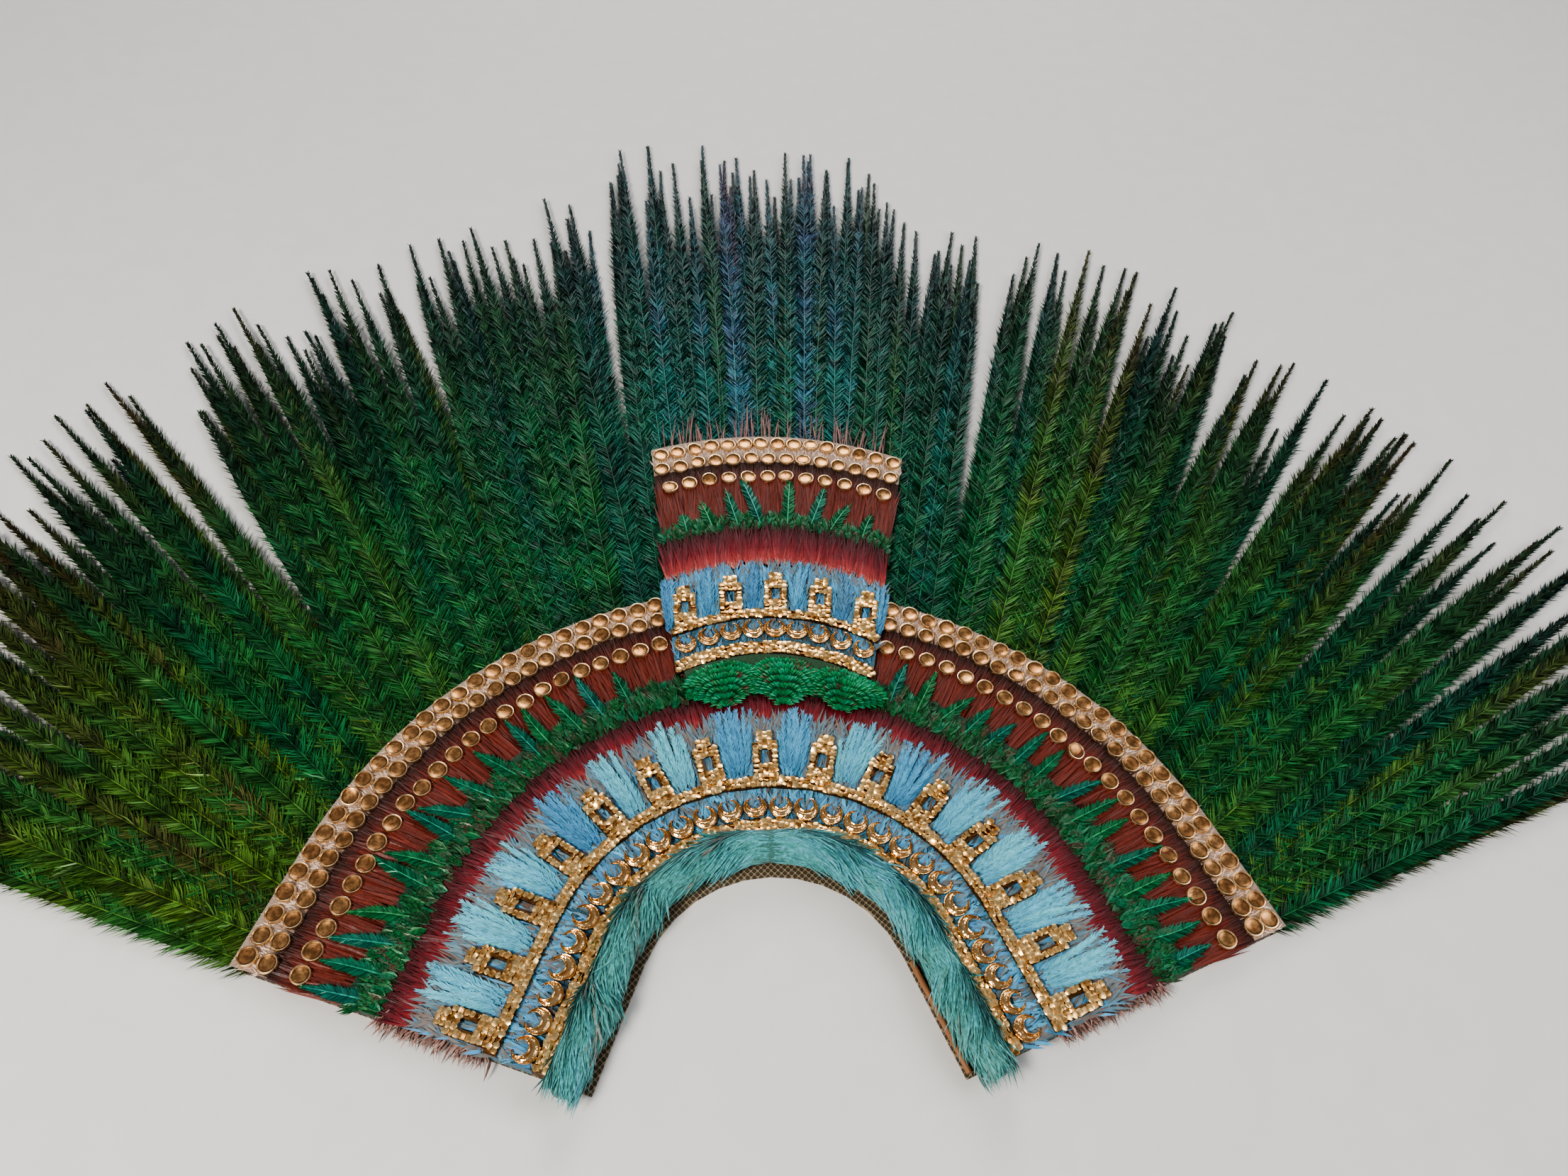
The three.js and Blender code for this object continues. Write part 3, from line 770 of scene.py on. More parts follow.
@dataclass
class Strips:
    """Many narrow strips gathered into one mesh, each a row of faces along a bent centre line."""

    corners: list[np.ndarray] = field(default_factory=list)
    spots: list[np.ndarray] = field(default_factory=list)
    faces: list[np.ndarray] = field(default_factory=list)
    ends: list[np.ndarray] = field(default_factory=list)
    count: int = 0

    def add(
        self,
        root: np.ndarray,
        way: np.ndarray,
        length: np.ndarray | float,
        width: np.ndarray | float,
        spot: np.ndarray,
        profile: Sequence[float] = (0.8, 1.0, 0.0),
        up: np.ndarray = UP,
        bend: np.ndarray | float = 0.0,
        lift: np.ndarray | float = 0.0,
        droop: np.ndarray | float = 0.0,
        roll: np.ndarray | float = 0.0,
    ) -> None:
        """Adds strips.

        Args:
            root: where each starts.
            way: the direction in which each sets out.
            length: how long each is.
            width: how wide each is where its profile is 1.
            spot: where each starts and ends on its finish's map.
            profile: share of the width at equal steps along, 0 at the end for a point.
            up: the direction that each faces.
            bend: how far each has bent sideways at its end, as a share of its length.
            lift: how far each rises, as a share of its length.
            droop: how far each has drooped at its end, as a share of its length.
            roll: turn of each about its own length, in radians.
        """
        root = np.atleast_2d(root)
        n, steps = len(root), len(profile)
        column = lambda value: np.broadcast_to(np.asarray(value, float), (n,))[:, None, None]
        way = unit(np.broadcast_to(way, (n, 3)))
        side = unit(np.cross(way, np.broadcast_to(up, (n, 3))))
        face = np.cross(side, way)
        t = np.linspace(0.0, 1.0, steps)[None, :, None]
        length = column(length)
        centre = root[:, None] + way[:, None] * length * t + side[:, None] * (column(bend) * length * t**2)
        centre = centre + face[:, None] * length * (column(lift) * t - column(droop) * t**2)
        across = side[:, None] * np.cos(column(roll)) + face[:, None] * np.sin(column(roll))
        half = column(width) * np.asarray(profile)[None, :, None] / 2
        corners = np.stack([centre - across * half, centre + across * half], 2)
        spot = np.broadcast_to(spot, (n, 4))
        run = spot[:, None, 2:] - spot[:, None, :2]
        middle = spot[:, None, :2] + run * t
        square = np.stack([-run[..., 1], run[..., 0]], -1)
        size = np.maximum(np.linalg.norm(square, axis=-1, keepdims=True), 1e-6)
        square = np.broadcast_to(square / size * 0.0018, middle.shape)
        spots = np.stack([middle - square, middle + square], 2)
        each = steps * 2
        if profile[-1] == 0.0:
            each -= 1
            spots[:, -1, 0] = middle[:, -1]
        index = self.count + np.arange(n)[:, None] * each + np.arange(steps * 2)[None, :]
        index = index.reshape(n, steps, 2)
        quads = np.stack([index[:, :-1, 0], index[:, :-1, 1], index[:, 1:, 1], index[:, 1:, 0]], -1)
        if profile[-1] == 0.0:
            self.ends.append(quads[:, -1, [0, 1, 3]])
            quads = quads[:, :-1]
        self.faces.append(quads.reshape(-1, 4))
        self.corners.append(corners.reshape(n, -1, 3)[:, :each].reshape(-1, 3))
        self.spots.append(spots.reshape(n, -1, 2)[:, :each].reshape(-1, 2))
        self.count += n * each

    def triangles(self) -> int:
        """How many triangles there are so far."""
        return 2 * sum(len(faces) for faces in self.faces) + sum(len(ends) for ends in self.ends)

    def mesh(self, name: str, lowest: float = 0.5, highest: float = 35.0) -> bpy.types.Object:
        """One object of all the strips.

        Args:
            name: the object's name.
            lowest: no corner lies lower, mm.
            highest: no corner lies higher, mm.

        Returns:
            The object.
        """
        corners = np.concatenate(self.corners)
        corners[:, 2] = np.clip(corners[:, 2], lowest, highest)
        quads = np.concatenate(self.faces)
        ends = np.concatenate(self.ends) if self.ends else np.zeros((0, 3), int)
        spots = np.concatenate(self.spots)
        mesh = bpy.data.meshes.new(name)
        mesh.from_pydata(corners * MM, [], quads.tolist() + ends.tolist())
        mesh.polygons.foreach_set("use_smooth", np.ones(len(quads) + len(ends), bool))
        layer = mesh.uv_layers.new(name=FEATHER_MAP)
        loops = np.concatenate([quads.ravel(), ends.ravel()])
        layer.uv.foreach_set("vector", spots[loops].astype(np.float32).ravel())
        made = bpy.data.objects.new(name, mesh)
        bpy.context.scene.collection.objects.link(made)
        return made


@dataclass(frozen=True)
class Vane:
    """How a feather's barbs stand on its shaft. Sizes in mm, shares of the feather's length."""

    barb: float
    pitch: float
    width: float
    angles: tuple[float, float]  # degrees from the shaft, at the root and at the tip
    full: tuple[float, float] = (0.05, 0.8)  # shares between which the barbs have their full length
    tip: float = 0.4  # a barb's length at the tip, as a share
    clump: float = 9.0
    clumping: float = 0.16
    curl: float = 0.16
    shaft: float = 1.1
    lift: float = 0.1
    flutter: float = 0.12
    stray: float = 0.12  # how far one barb's angle strays from its neighbours', in radians
    web: float = 0.55  # width of the solid web under the barbs, as a share of their reach
    bare: float = 0.0

    def reach(self, share: np.ndarray) -> np.ndarray:
        """A barb's length at a share of the way along."""
        grown = smooth(-0.02, self.full[0], share) * 0.75 + 0.25
        return self.barb * grown * (1.0 - (1.0 - self.tip) * smooth(self.full[1], 1.0, share))

    def add(
        self,
        strips: Strips,
        root: np.ndarray,
        way: np.ndarray,
        length: float,
        tint: float,
        rng: np.random.Generator,
        bow: float = 0.0,
        rise: float = 0.0,
        sink: float = 0.0,
        up: np.ndarray = UP,
    ) -> None:
        """Adds one feather.

        Args:
            strips: the mesh that it goes into.
            root: where its shaft starts.
            way: the direction in which its shaft sets out.
            length: its shaft's length.
            tint: its colour's place among the finish's tints.
            rng: gives the unevenness.
            bow: how far the shaft has bent sideways at its tip, as a share of its length.
            rise: how far the shaft rises, as a share of its length.
            sink: how far the shaft has sunk again at its tip, as a share of its length.
            up: the direction that the feather faces.
        """
        way = unit(way)
        side = unit(np.cross(way, up))
        face = np.cross(side, way)
        share = np.arange(self.bare + self.pitch / length / 2, 1.0, self.pitch / length)[:, None]
        path = root + length * (way * share + side * bow * share**2 + face * (rise * share - sink * share**2))
        ahead = unit(way + side * 2 * bow * share + face * (rise - 2 * sink * share))
        beside = unit(np.cross(ahead, up))
        share = share[:, 0]
        reach = self.reach(share)
        stem = np.linspace(1.0, 0.25, 7)
        middle = self.reach(np.linspace(0.0, 1.0, 7))
        web = middle * math.sin(math.radians(sum(self.angles) / 2)) * 2 * self.web
        web[-1] *= 0.2
        under = patch(tint, (0.12, 0.12), (0.0, 0.9))
        strips.add(root - up * 0.5, way, length * 0.93, 1.0, under, web, up, bow, rise, sink)
        strips.add(root + up * 0.5, way, length, self.shaft, patch(tint, (0.0, 0.0), (0.0, 1.0)), stem,
            up, bow, rise, sink)
        for hand in (-1.0, 1.0):
            phase = rng.uniform()
            saw = (share * length / self.clump + phase + 0.35 * waves(share * length, rng, 60.0)) % 1.0 - 0.5
            angle = np.radians(self.angles[0] + (self.angles[1] - self.angles[0]) * share)
            angle = angle + saw * self.clumping * 2 + rng.normal(0.0, self.stray, len(share))
            turn = angle[:, None]
            strips.add(
                path,
                ahead * np.cos(turn) + beside * hand * np.sin(turn),
                reach * rng.uniform(0.82, 1.08, len(share)),
                self.width,
                patch(tint, (0.15, 1.0), (share, share)),
                up=up,
                bend=-hand * self.curl * rng.uniform(0.5, 1.5, len(share)),
                lift=self.lift + waves(share * length, rng, 26.0, 3) * self.flutter,
                droop=self.lift * 0.9 + 0.04,
                roll=hand * 0.25 + rng.normal(0.0, 0.25, len(share)),
            )


@dataclass(frozen=True)
class Lay:
    """One lay of single strands on a band. Sizes in mm."""

    roots: tuple[float, float]  # offsets between which they start
    heights: tuple[float, float]  # heights at those offsets
    length: tuple[float, float]
    width: tuple[float, float]
    count: int
    splay: float = 8.0  # degrees to either side
    locks: float = 0.0  # degrees by which neighbours turn together
    lock_length: float = 30.0
    lift: float = 0.04
    droop: float = 0.05
    bend: float = 0.1
    tint: tuple[float, float] = (0.0, 1.0)
    ends: float = 1.0  # share of the row's reach that they cover

    def add(self, strips: Strips, ground: Ground, band: tuple[float, float],
        rng: np.random.Generator) -> None:
        """Adds the strands.

        Args:
            strips: the mesh that they go into.
            ground: what they lie on.
            band: the offsets at which the finish's way along starts and ends.
            rng: gives the unevenness.
        """
        row = sum(self.roots) / 2
        reach = ground.reach(row) * self.ends
        along = np.linspace(-reach, reach, self.count) + rng.normal(0.0, reach / self.count * 2, self.count)
        along = np.clip(along, -reach, reach)
        share = rng.uniform(0.0, 1.0, self.count)
        offset = self.roots[0] + (self.roots[1] - self.roots[0]) * share
        height = self.heights[0] + (self.heights[1] - self.heights[0]) * share
        places = ground.at(along, offset, row)
        turn = np.radians(self.splay) * rng.uniform(-1.0, 1.0, self.count)
        turn = turn + np.radians(self.locks) * waves(along, rng, self.lock_length)
        way = places.out * np.cos(turn)[:, None] + places.along * np.sin(turn)[:, None]
        length = rng.uniform(*self.length, self.count)
        end = offset + length * np.cos(turn)
        spread = band[1] - band[0]
        strips.add(
            places.raised(height + rng.uniform(-0.3, 0.3, self.count)),
            way,
            length,
            rng.uniform(*self.width, self.count),
            patch(rng.uniform(*self.tint, self.count), (0.5, 0.5),
            ((offset - band[0]) / spread, (end - band[0]) / spread)),
            bend=rng.uniform(-1.0, 1.0, self.count) * self.bend,
            lift=self.lift + rng.normal(0.0, 0.02, self.count),
            droop=self.droop,
            roll=rng.normal(0.0, 0.25, self.count),
        )


# ---- Modelling by operators --------------------------------------------------------------------------


def only(made: bpy.types.Object) -> None:
    """Selects one object and makes it active."""
    for other in bpy.context.view_layer.objects:
        other.select_set(False)
    made.select_set(True)
    bpy.context.view_layer.objects.active = made


@contextmanager
def editing(made: bpy.types.Object) -> Iterator[None]:
    """Edit mode on one object, with all of it selected at the start."""
    only(made)
    bpy.ops.object.mode_set(mode="EDIT")
    bpy.ops.mesh.select_all(action="SELECT")
    yield
    bpy.ops.object.mode_set(mode="OBJECT")


def fresh(name: str) -> bpy.types.Object:
    """The primitive that was just added, named, with its place in its mesh."""
    made = bpy.context.active_object
    made.name = made.data.name = name
    only(made)
    bpy.ops.object.transform_apply(location=True, rotation=True, scale=True)
    return made


def extrude(move: Sequence[float], resize: float = 1.0) -> None:
    """Extrudes the selected face by a move, then sizes it in the plane of the floor."""
    bpy.ops.mesh.extrude_region_move(TRANSFORM_OT_translate={"value": tuple(move)})
    if resize != 1.0:
        bpy.ops.transform.resize(value=(resize, resize, resize))


def close(made: bpy.types.Object) -> None:
    """Merges doubles and turns all faces outwards."""
    with editing(made):
        bpy.ops.mesh.remove_doubles(threshold=1e-6)
        bpy.ops.mesh.normals_make_consistent(inside=False)


def round_edges(made: bpy.types.Object, degrees: float = 40.0) -> None:
    """Smooth shading, but for edges sharper than an angle."""
    only(made)
    bpy.ops.object.shade_smooth_by_angle(angle=math.radians(degrees))


def apply(made: bpy.types.Object, kind: str, **settings) -> None:
    """Adds a modifier with settings and applies it."""
    only(made)
    modifier = made.modifiers.new(kind, kind)
    for key, setting in settings.items():
        setattr(modifier, key, setting)
    bpy.ops.object.modifier_apply(modifier=modifier.name)


def swept(ground: Horseshoe, section: Sequence[tuple[float, float]], name: str, steps: int = 56,
          ends: Sequence[tuple[float, float]] = ()) -> bpy.types.Object:
    """A closed band round the whole horseshoe: up the left leg, round the crown, and down the right leg.

    Args:
        ground: the horseshoe.
        section: its section, as offsets and heights.
        name: the object's name.
        steps: faces round the arc.
        ends: tapers beyond each leg's end, as distance from it and size, from the leg outwards.

    Returns:
        The object.
    """
    offsets, heights = np.array(section).T
    foot = ground.at(np.full(len(offsets), -ground.reach(0.0)), offsets, 0.0)
    start = foot.raised(heights)
    down, right_down = -foot.along[0], ground.at([ground.reach(0.0)], 0.0, 0.0).along[0]
    sizes = [(distance, size) for distance, size in ends]
    outermost = sizes[-1] if sizes else (0.0, 1.0)
    middle = start.mean(0)
    ring = middle + (start - middle) * outermost[1] + down * outermost[0]
    bpy.ops.mesh.primitive_circle_add(vertices=len(section), radius=1.0, fill_type="NGON")
    made = fresh(name)
    for vertex, place in zip(made.data.vertices, ring):
        vertex.co = Vector(place) * MM
    tapers = [(0.0, 1.0), *sizes]
    with editing(made):
        for (near, bigger), (far, smaller) in reversed(list(zip(tapers, tapers[1:]))):
            extrude(-down * (far - near) * MM, bigger / smaller)
        extrude(-down * ground.leg * MM)
        bpy.ops.mesh.spin(
            steps=steps, angle=2 * ground.spread, center=tuple(ground.centre * MM), axis=(0.0, 0.0, 1.0)
        )
        extrude(right_down * ground.leg * MM)
        for (near, bigger), (far, smaller) in zip(tapers, tapers[1:]):
            extrude(right_down * (far - near) * MM, smaller / bigger)
    close(made)
    return made


def sheet_over(tongue: Tongue, rows: tuple[float, float], heights: tuple[float, float], name: str,
               reach: tuple[float, float] = (-1.0, 1.0), thickness: float = 1.6) -> bpy.types.Object:
    """A closed sheet over part of the tongue.

    Args:
        tongue: the tongue.
        rows: heights up the tongue of its lower and upper edges.
        heights: of its face at those edges, above the floor.
        name: the object's name.
        reach: shares of the half width between which it goes.
        thickness: of the sheet.

    Returns:
        The object.
    """
    bpy.ops.mesh.primitive_grid_add(x_subdivisions=24, y_subdivisions=3, size=2.0)
    made = fresh(name)
    for vertex in made.data.vertices:
        share = (vertex.co.y + 1.0) / 2.0
        up = rows[0] + (rows[1] - rows[0]) * share
        across = reach[0] + (reach[1] - reach[0]) * (vertex.co.x + 1.0) / 2.0
        place = tongue.at([across * tongue.half(up)], up, up)
        vertex.co = Vector(place.raised(heights[0] + (heights[1] - heights[0]) * share)[0]) * MM
    apply(made, "SOLIDIFY", thickness=thickness * MM, offset=-1.0)
    return made


@dataclass
class Stamp:
    """One small shape, modelled once in millimetres, and copied to many places."""

    points: np.ndarray
    faces: list[tuple[int, ...]]

    @classmethod
    def of(cls, model: bpy.types.Object) -> "Stamp":
        """Takes a model's mesh and clears the model away."""
        points = np.array([vertex.co[:] for vertex in model.data.vertices])
        faces = [tuple(polygon.vertices) for polygon in model.data.polygons]
        bpy.data.meshes.remove(model.data)
        return cls(points, faces)

    def mesh(self, name: str, origin: np.ndarray, right: np.ndarray, up: np.ndarray,
             size: np.ndarray | float = 1.0, cells: np.ndarray | None = None) -> bpy.types.Object:
        """Copies as one object.

        Args:
            name: the object's name.
            origin: where each copy stands, mm.
            right: the direction of each copy's +X.
            up: the direction of each copy's +Z, made square to its +X.
            size: each copy's scale.
            cells: each copy's cell on a flat map, if the finish reads one.

        Returns:
            The object.
        """
        n = len(origin)
        right = unit(right)
        up = unit(up - right * np.sum(up * right, -1, keepdims=True))
        axes = np.stack([right, np.cross(up, right), up], 1)
        scale = np.broadcast_to(np.asarray(size, float), (n,))[:, None, None]
        points = (np.einsum("vk,nkj->nvj", self.points, axes) * scale + origin[:, None]) * MM
        count = len(self.points)
        faces = [tuple(i + k * count for i in face) for k in range(n) for face in self.faces]
        mesh = bpy.data.meshes.new(name)
        mesh.from_pydata(points.reshape(-1, 3), [], faces)
        if cells is not None:
            flat = self.points[:, :2] / np.abs(self.points[:, :2]).max() * CELL_HALF + 0.5
            spots = np.repeat(flat[None], n, 0)
            spots[..., 0] = (spots[..., 0] + np.asarray(cells)[:, None]) / CELLS
            loops = np.concatenate([np.array(face) for face in faces])
            layer = mesh.uv_layers.new(name=FEATHER_MAP)
            layer.uv.foreach_set("vector", spots.reshape(-1, 2)[loops].astype(np.float32).ravel())
        made = bpy.data.objects.new(name, mesh)
        bpy.context.scene.collection.objects.link(made)
        return made


# ---- Sub-assemblies ----------------------------------------------------------------------------------


@dataclass
class Workshop:
    """Finishes pieces and puts them on the frame."""

    materials: dict[str, bpy.types.Material] = field(default_factory=dict)

    def dress(self, made: bpy.types.Object, finish, slot: str, nodes: Sequence[str] = ()) -> None:
        """Gives a piece its finish and fastens it to the frame.

        Args:
            made: the piece.
            finish: one of the finishes above.
            slot: the record's material slot that it stands for; not used.
            nodes: the frame's nodes that it replaces.
        """
        if finish.name not in self.materials:
            self.materials[finish.name] = finish.build()
        made.data.materials.clear()
        made.data.materials.append(self.materials[finish.name])
        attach(made, BODY)
        if nodes:
            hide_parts(*nodes)
        LOG.info("%s: %d faces", made.name, len(made.data.polygons))

    def refinish(self, node: str, finish) -> None:
        """Gives one of the frame's own nodes its finish."""
        if finish.name not in self.materials:
            self.materials[finish.name] = finish.build()
        made = frame["nodes"][node]
        made.data.materials.clear()
        made.data.materials.append(self.materials[finish.name])
        LOG.info("%s: frame node", node)


class Part(Enum):
    """The three fans of plumes."""

    LEFT = "left"
    CROWN = "crown"
    RIGHT = "right"


@dataclass
class PlumeFan:
    """One fan of long plumes, overlapping in several layers."""

    ground: Horseshoe
    part: Part
    count: int
    root: float = 184.0
    crown_half: float = 92.0
    most_tilt: float = math.radians(71.0)
    linear_tilt: float = 0.65
    crown_length: float = 760.0
    crown_shorter: float = 58.0
    side_shares: tuple[float, ...] = (0.0, 0.33, 0.5, 0.75, 1.0)
    side_lengths: tuple[float, ...] = (610.0, 626.0, 578.0, 545.0, 588.0)
    tint_shares: tuple[float, ...] = (-1.0, -0.75, -0.5, -0.25, -0.1, 0.1, 0.3, 0.5, 0.75, 1.0)
    tint_values: tuple[float, ...] = (0.12, 0.26, 0.34, 0.52, 0.72, 0.72, 0.50, 0.34, 0.30, 0.40)
    vane: Vane = Vane(
        barb=21.0, pitch=1.5, width=1.2, angles=(54.0, 24.0), full=(0.04, 0.72), tip=0.28, clump=8.0,
        clumping=0.11, curl=0.14, shaft=1.1, lift=0.08, flutter=0.1, web=0.5, bare=0.03,
    )

    def _span(self) -> tuple[float, float]:
        """Lengths along the roots between which this fan's plumes stand."""
        foot = self.ground.reach(self.root) - 6.0
        spans = {
            Part.LEFT: (-foot, -self.crown_half),
            Part.CROWN: (-self.crown_half, self.crown_half),
            Part.RIGHT: (self.crown_half, foot),
        }
        return spans[self.part]

    def _length(self, place: float) -> float:
        """The longest that a plume may be at a length along the roots."""
        if abs(place) <= self.crown_half and self.part is Part.CROWN:
            return self.crown_length - self.crown_shorter * (place / self.crown_half) ** 2
        foot = self.ground.reach(self.root)
        share = (abs(place) - self.crown_half) / (foot - self.crown_half)
        return float(np.interp(share, self.side_shares, self.side_lengths))

    def _tint(self, place: float, rng: np.random.Generator) -> float:
        """A plume's tint: olive at the left foot, green on the left, teal and blue at the crown."""
        share = place / self.ground.reach(self.root)
        zone = float(np.interp(share, self.tint_shares, self.tint_values))
        return float(np.clip(zone + rng.normal(0.0, 0.11), 0.0, 0.99))

    def build(self, shop: Workshop) -> None:
        """Makes the fan."""
        rng = np.random.default_rng(11 + list(Part).index(self.part))
        first, last = self._span()
        reach = self.ground.reach(self.root)
        strips = Strips()
        places = np.linspace(first, last, self.count) + rng.normal(0.0, 2.0, self.count)
        layers = rng.uniform(0.0, 1.0, self.count)
        for place, layer in zip(np.clip(places, first, last), layers):
            share = abs(place) / reach
            lean = self.linear_tilt * share + (1 - self.linear_tilt) * share**3
            tilt = math.copysign(self.most_tilt * lean, place)
            tilt += rng.normal(0.0, math.radians(1.15))
            root_height, tip_height = 4.2 + 1.6 * layer, 2.0 + 5.0 * layer
            length = self._length(place) * (1.0 - 0.2 * rng.uniform() ** 1.4)
            rise = 4.0 + 6.0 * layer
            self.vane.add(
                strips,
                self.ground.at([place], self.root, self.root).raised(root_height)[0],
                np.array([math.sin(tilt), math.cos(tilt), 0.0]),
                length,
                self._tint(place, rng),
                rng,
                bow=rng.normal(0.0, 0.012),
                rise=rise / length,
                sink=(rise + root_height - tip_height) / length,
            )
        name = f"plume_barbs_{self.part.value}"
        LOG.info("%s: %d triangles", name, strips.triangles())
        shop.dress(strips.mesh(name), PLUMES, "plume_green", [f"plumes_{self.part.value}"])


@dataclass
class FeatherBand:
    """A band of single strands over a dense ground."""

    ground: Ground
    name: str
    node: str
    slot: str
    finish: FeatherFinish
    felt: FeltFinish
    band: tuple[float, float]
    top: float
    lays: tuple[Lay, ...]
    bottom: float = 3.6

    def build(self, shop: Workshop) -> None:
        """Makes the ground and the strands over it."""
        rng = np.random.default_rng(len(self.name) * 7 + 3)
        strips = Strips()
        for lay in self.lays:
            lay.add(strips, self.ground, self.band, rng)
        inner, outer = self.band
        if isinstance(self.ground, Horseshoe):
            section = ((inner, self.bottom), (outer, self.bottom), (outer, self.top - 1.2),
                (outer - 1.5, self.top),
                       (inner + 1.5, self.top), (inner, self.top - 1.2))
            felt = swept(self.ground, section, f"{self.name}_ground")
        else:
            felt = sheet_over(self.ground, self.band, (self.top, self.top), f"{self.name}_ground")
        round_edges(felt)
        shop.dress(felt, self.felt, self.slot, [self.node])
        shop.dress(strips.mesh(f"{self.name}_strands"), self.finish, self.slot)


@dataclass
class LeafBand:
    """Long leaf feathers over a green band, root side by side or given one by one."""

    ground: Ground
    name: str
    row: float
    height: float
    lengths: np.ndarray
    alongs: np.ndarray
    turns: np.ndarray
    vane: Vane = Vane(
        barb=9.6, pitch=0.9, width=1.5, angles=(54.0, 28.0), full=(0.14, 0.5), tip=0.3,
        clump=16.0, clumping=0.03, curl=0.12, shaft=1.3, lift=0.0, flutter=0.02, web=0.75,
    )

    def build(self, shop: Workshop) -> None:
        """Makes the feathers."""
        rng = np.random.default_rng(len(self.name) + 40)
        strips = Strips()
        places = self.ground.at(self.alongs, self.row, self.row)
        for root, out, along, length, turn in zip(
            places.raised(self.height), places.out, places.along, self.lengths, np.radians(self.turns)
        ):
            way = out * math.cos(turn) + along * math.sin(turn)
            self.vane.add(strips, root, way, length, rng.uniform(0.1, 0.95), rng, bow=rng.normal(0.0, 0.06),
                          rise=0.10, sink=0.13)
        shop.dress(strips.mesh(self.name), LEAVES, "leaf_green")


@dataclass
class Tufts:
    """Raised pads of blue feathers between the stepped figures, each a domed row of narrow feathers."""

    ground: Ground
    name: str
    row: float
    root: float
    height: float
    alongs: np.ndarray
    length: float
    fan: float  # degrees to either side
    width: float  # across a pad's foot
    feathers: int
    tints: tuple[float, ...]
    dome: float = 3.0
    vane: Vane = Vane(
        barb=6.4, pitch=1.5, width=1.0, angles=(24.0, 15.0), full=(0.03, 0.93), tip=0.7, clump=6.0,
        clumping=0.12, curl=0.04, shaft=0.7, lift=0.1, flutter=0.1, web=1.0,
    )

    def build(self, shop: Workshop) -> None:
        """Makes the pads."""
        rng = np.random.default_rng(len(self.name) + 90)
        strips = Strips()
        for index, along in enumerate(self.alongs):
            tint = self.tints[index % len(self.tints)]
            for feather in range(self.feathers):
                layer = (feather % 3) / 2.0
                share = (feather + 0.5) / self.feathers * 2.0 - 1.0
                offset = self.root + 6.0 * layer + rng.uniform(-1.0, 3.0)
                places = self.ground.at([along + share * self.width / 2], offset, self.row)
                turn = math.radians(self.fan * share + rng.normal(0.0, 3.5))
                way = places.out[0] * math.cos(turn) + places.along[0] * math.sin(turn)
                high = self.height + self.dome * (1.0 - share**2) * (0.4 + 0.6 * layer)
                self.vane.add(
                    strips, places.raised(high)[0], way,
                    self.length * (1.0 - 0.1 * layer) * rng.uniform(0.8, 1.0),
                    float(np.clip(tint + rng.normal(0.0, 0.05), 0, 0.99)), rng,
                    bow=rng.normal(0.0, 0.04), rise=0.10, sink=0.10,
                )
        shop.dress(strips.mesh(self.name), SKY, "blue_feather")


@dataclass
class BrowRoll:
    """The thick roll of turquoise feathers round the opening, lying from the crown down to both ends."""

    ground: Horseshoe
    offset: float = -31.8
    half: float = 12.0
    middle: float = 15.6
    half_height: float = 11.4
    strands: int = 7600

    def build(self, shop: Workshop) -> None:
        """Makes the roll's core and its feathers."""
        angles = np.linspace(0.0, 2 * math.pi, 20, endpoint=False)
        section = [(self.offset + self.half * math.cos(a),
            self.middle + self.half_height * math.sin(a)) for a in angles]
        core = swept(self.ground, section, "roll_core", 40, ends=((6.0, 0.75), (10.0, 0.35)))
        round_edges(core, 60.0)
        shop.dress(core, FeltFinish("roll_felt", (0.05, 0.15, 0.13), (0.10, 0.28, 0.25)),
            "turquoise_down", ["brow_roll"])

        rng = np.random.default_rng(5)
        n = self.strands
        reach = self.ground.reach(self.offset)
        length = rng.uniform(14.0, 30.0, n)
        along = np.sign(rng.uniform(-1, 1, n)) * (reach + 4.0 - length * 0.4) * rng.uniform(0.0, 1.0, n)
        a = rng.uniform(math.radians(-30), math.radians(222), n)
        places = self.ground.at(along, self.offset, self.offset)
        around = places.out * np.cos(a)[:, None] + UP * np.sin(a)[:, None] * 1.0
        shell = places.out * (np.cos(a) * self.half)[:, None] + UP * (np.sin(a) * self.half_height)[:, None]
        root = places.raised(self.middle) + shell
        tangent = places.out * -np.sin(a)[:, None] + UP * np.cos(a)[:, None]
        lean = np.radians(16.0) + np.radians(22.0) * waves(along, rng, 70.0) + rng.normal(0.0, 0.12, n)
        down = places.along * np.sign(along)[:, None]
        way = down * np.cos(lean)[:, None] + tangent * np.sin(lean)[:, None]
        blue = 0.12 * np.sin(along / 60.0 + 0.6)
        tan = smooth(0.45, 0.95, waves(along + a * 16.0, rng, 64.0) - 0.25 * np.sin(a))
        tint = (0.62 + blue + rng.normal(0.0, 0.1, n)) * (1.0 - tan) + rng.uniform(0.02, 0.3, n) * tan
        strips = Strips()
        strips.add(
            root, way, length, rng.uniform(0.9, 1.8, n), patch(tint, (0.5, 0.5), (0.1, 0.95)),
            profile=(0.6, 1.0, 0.8, 0.0), up=around, bend=rng.normal(0.0, 0.12, n),
            lift=rng.uniform(0.02, 0.16, n), droop=rng.uniform(0.1, 0.2, n), roll=rng.normal(0.0, 0.3, n),
        )
        shop.dress(strips.mesh("roll_feathers"), TURQUOISE, "turquoise_down")


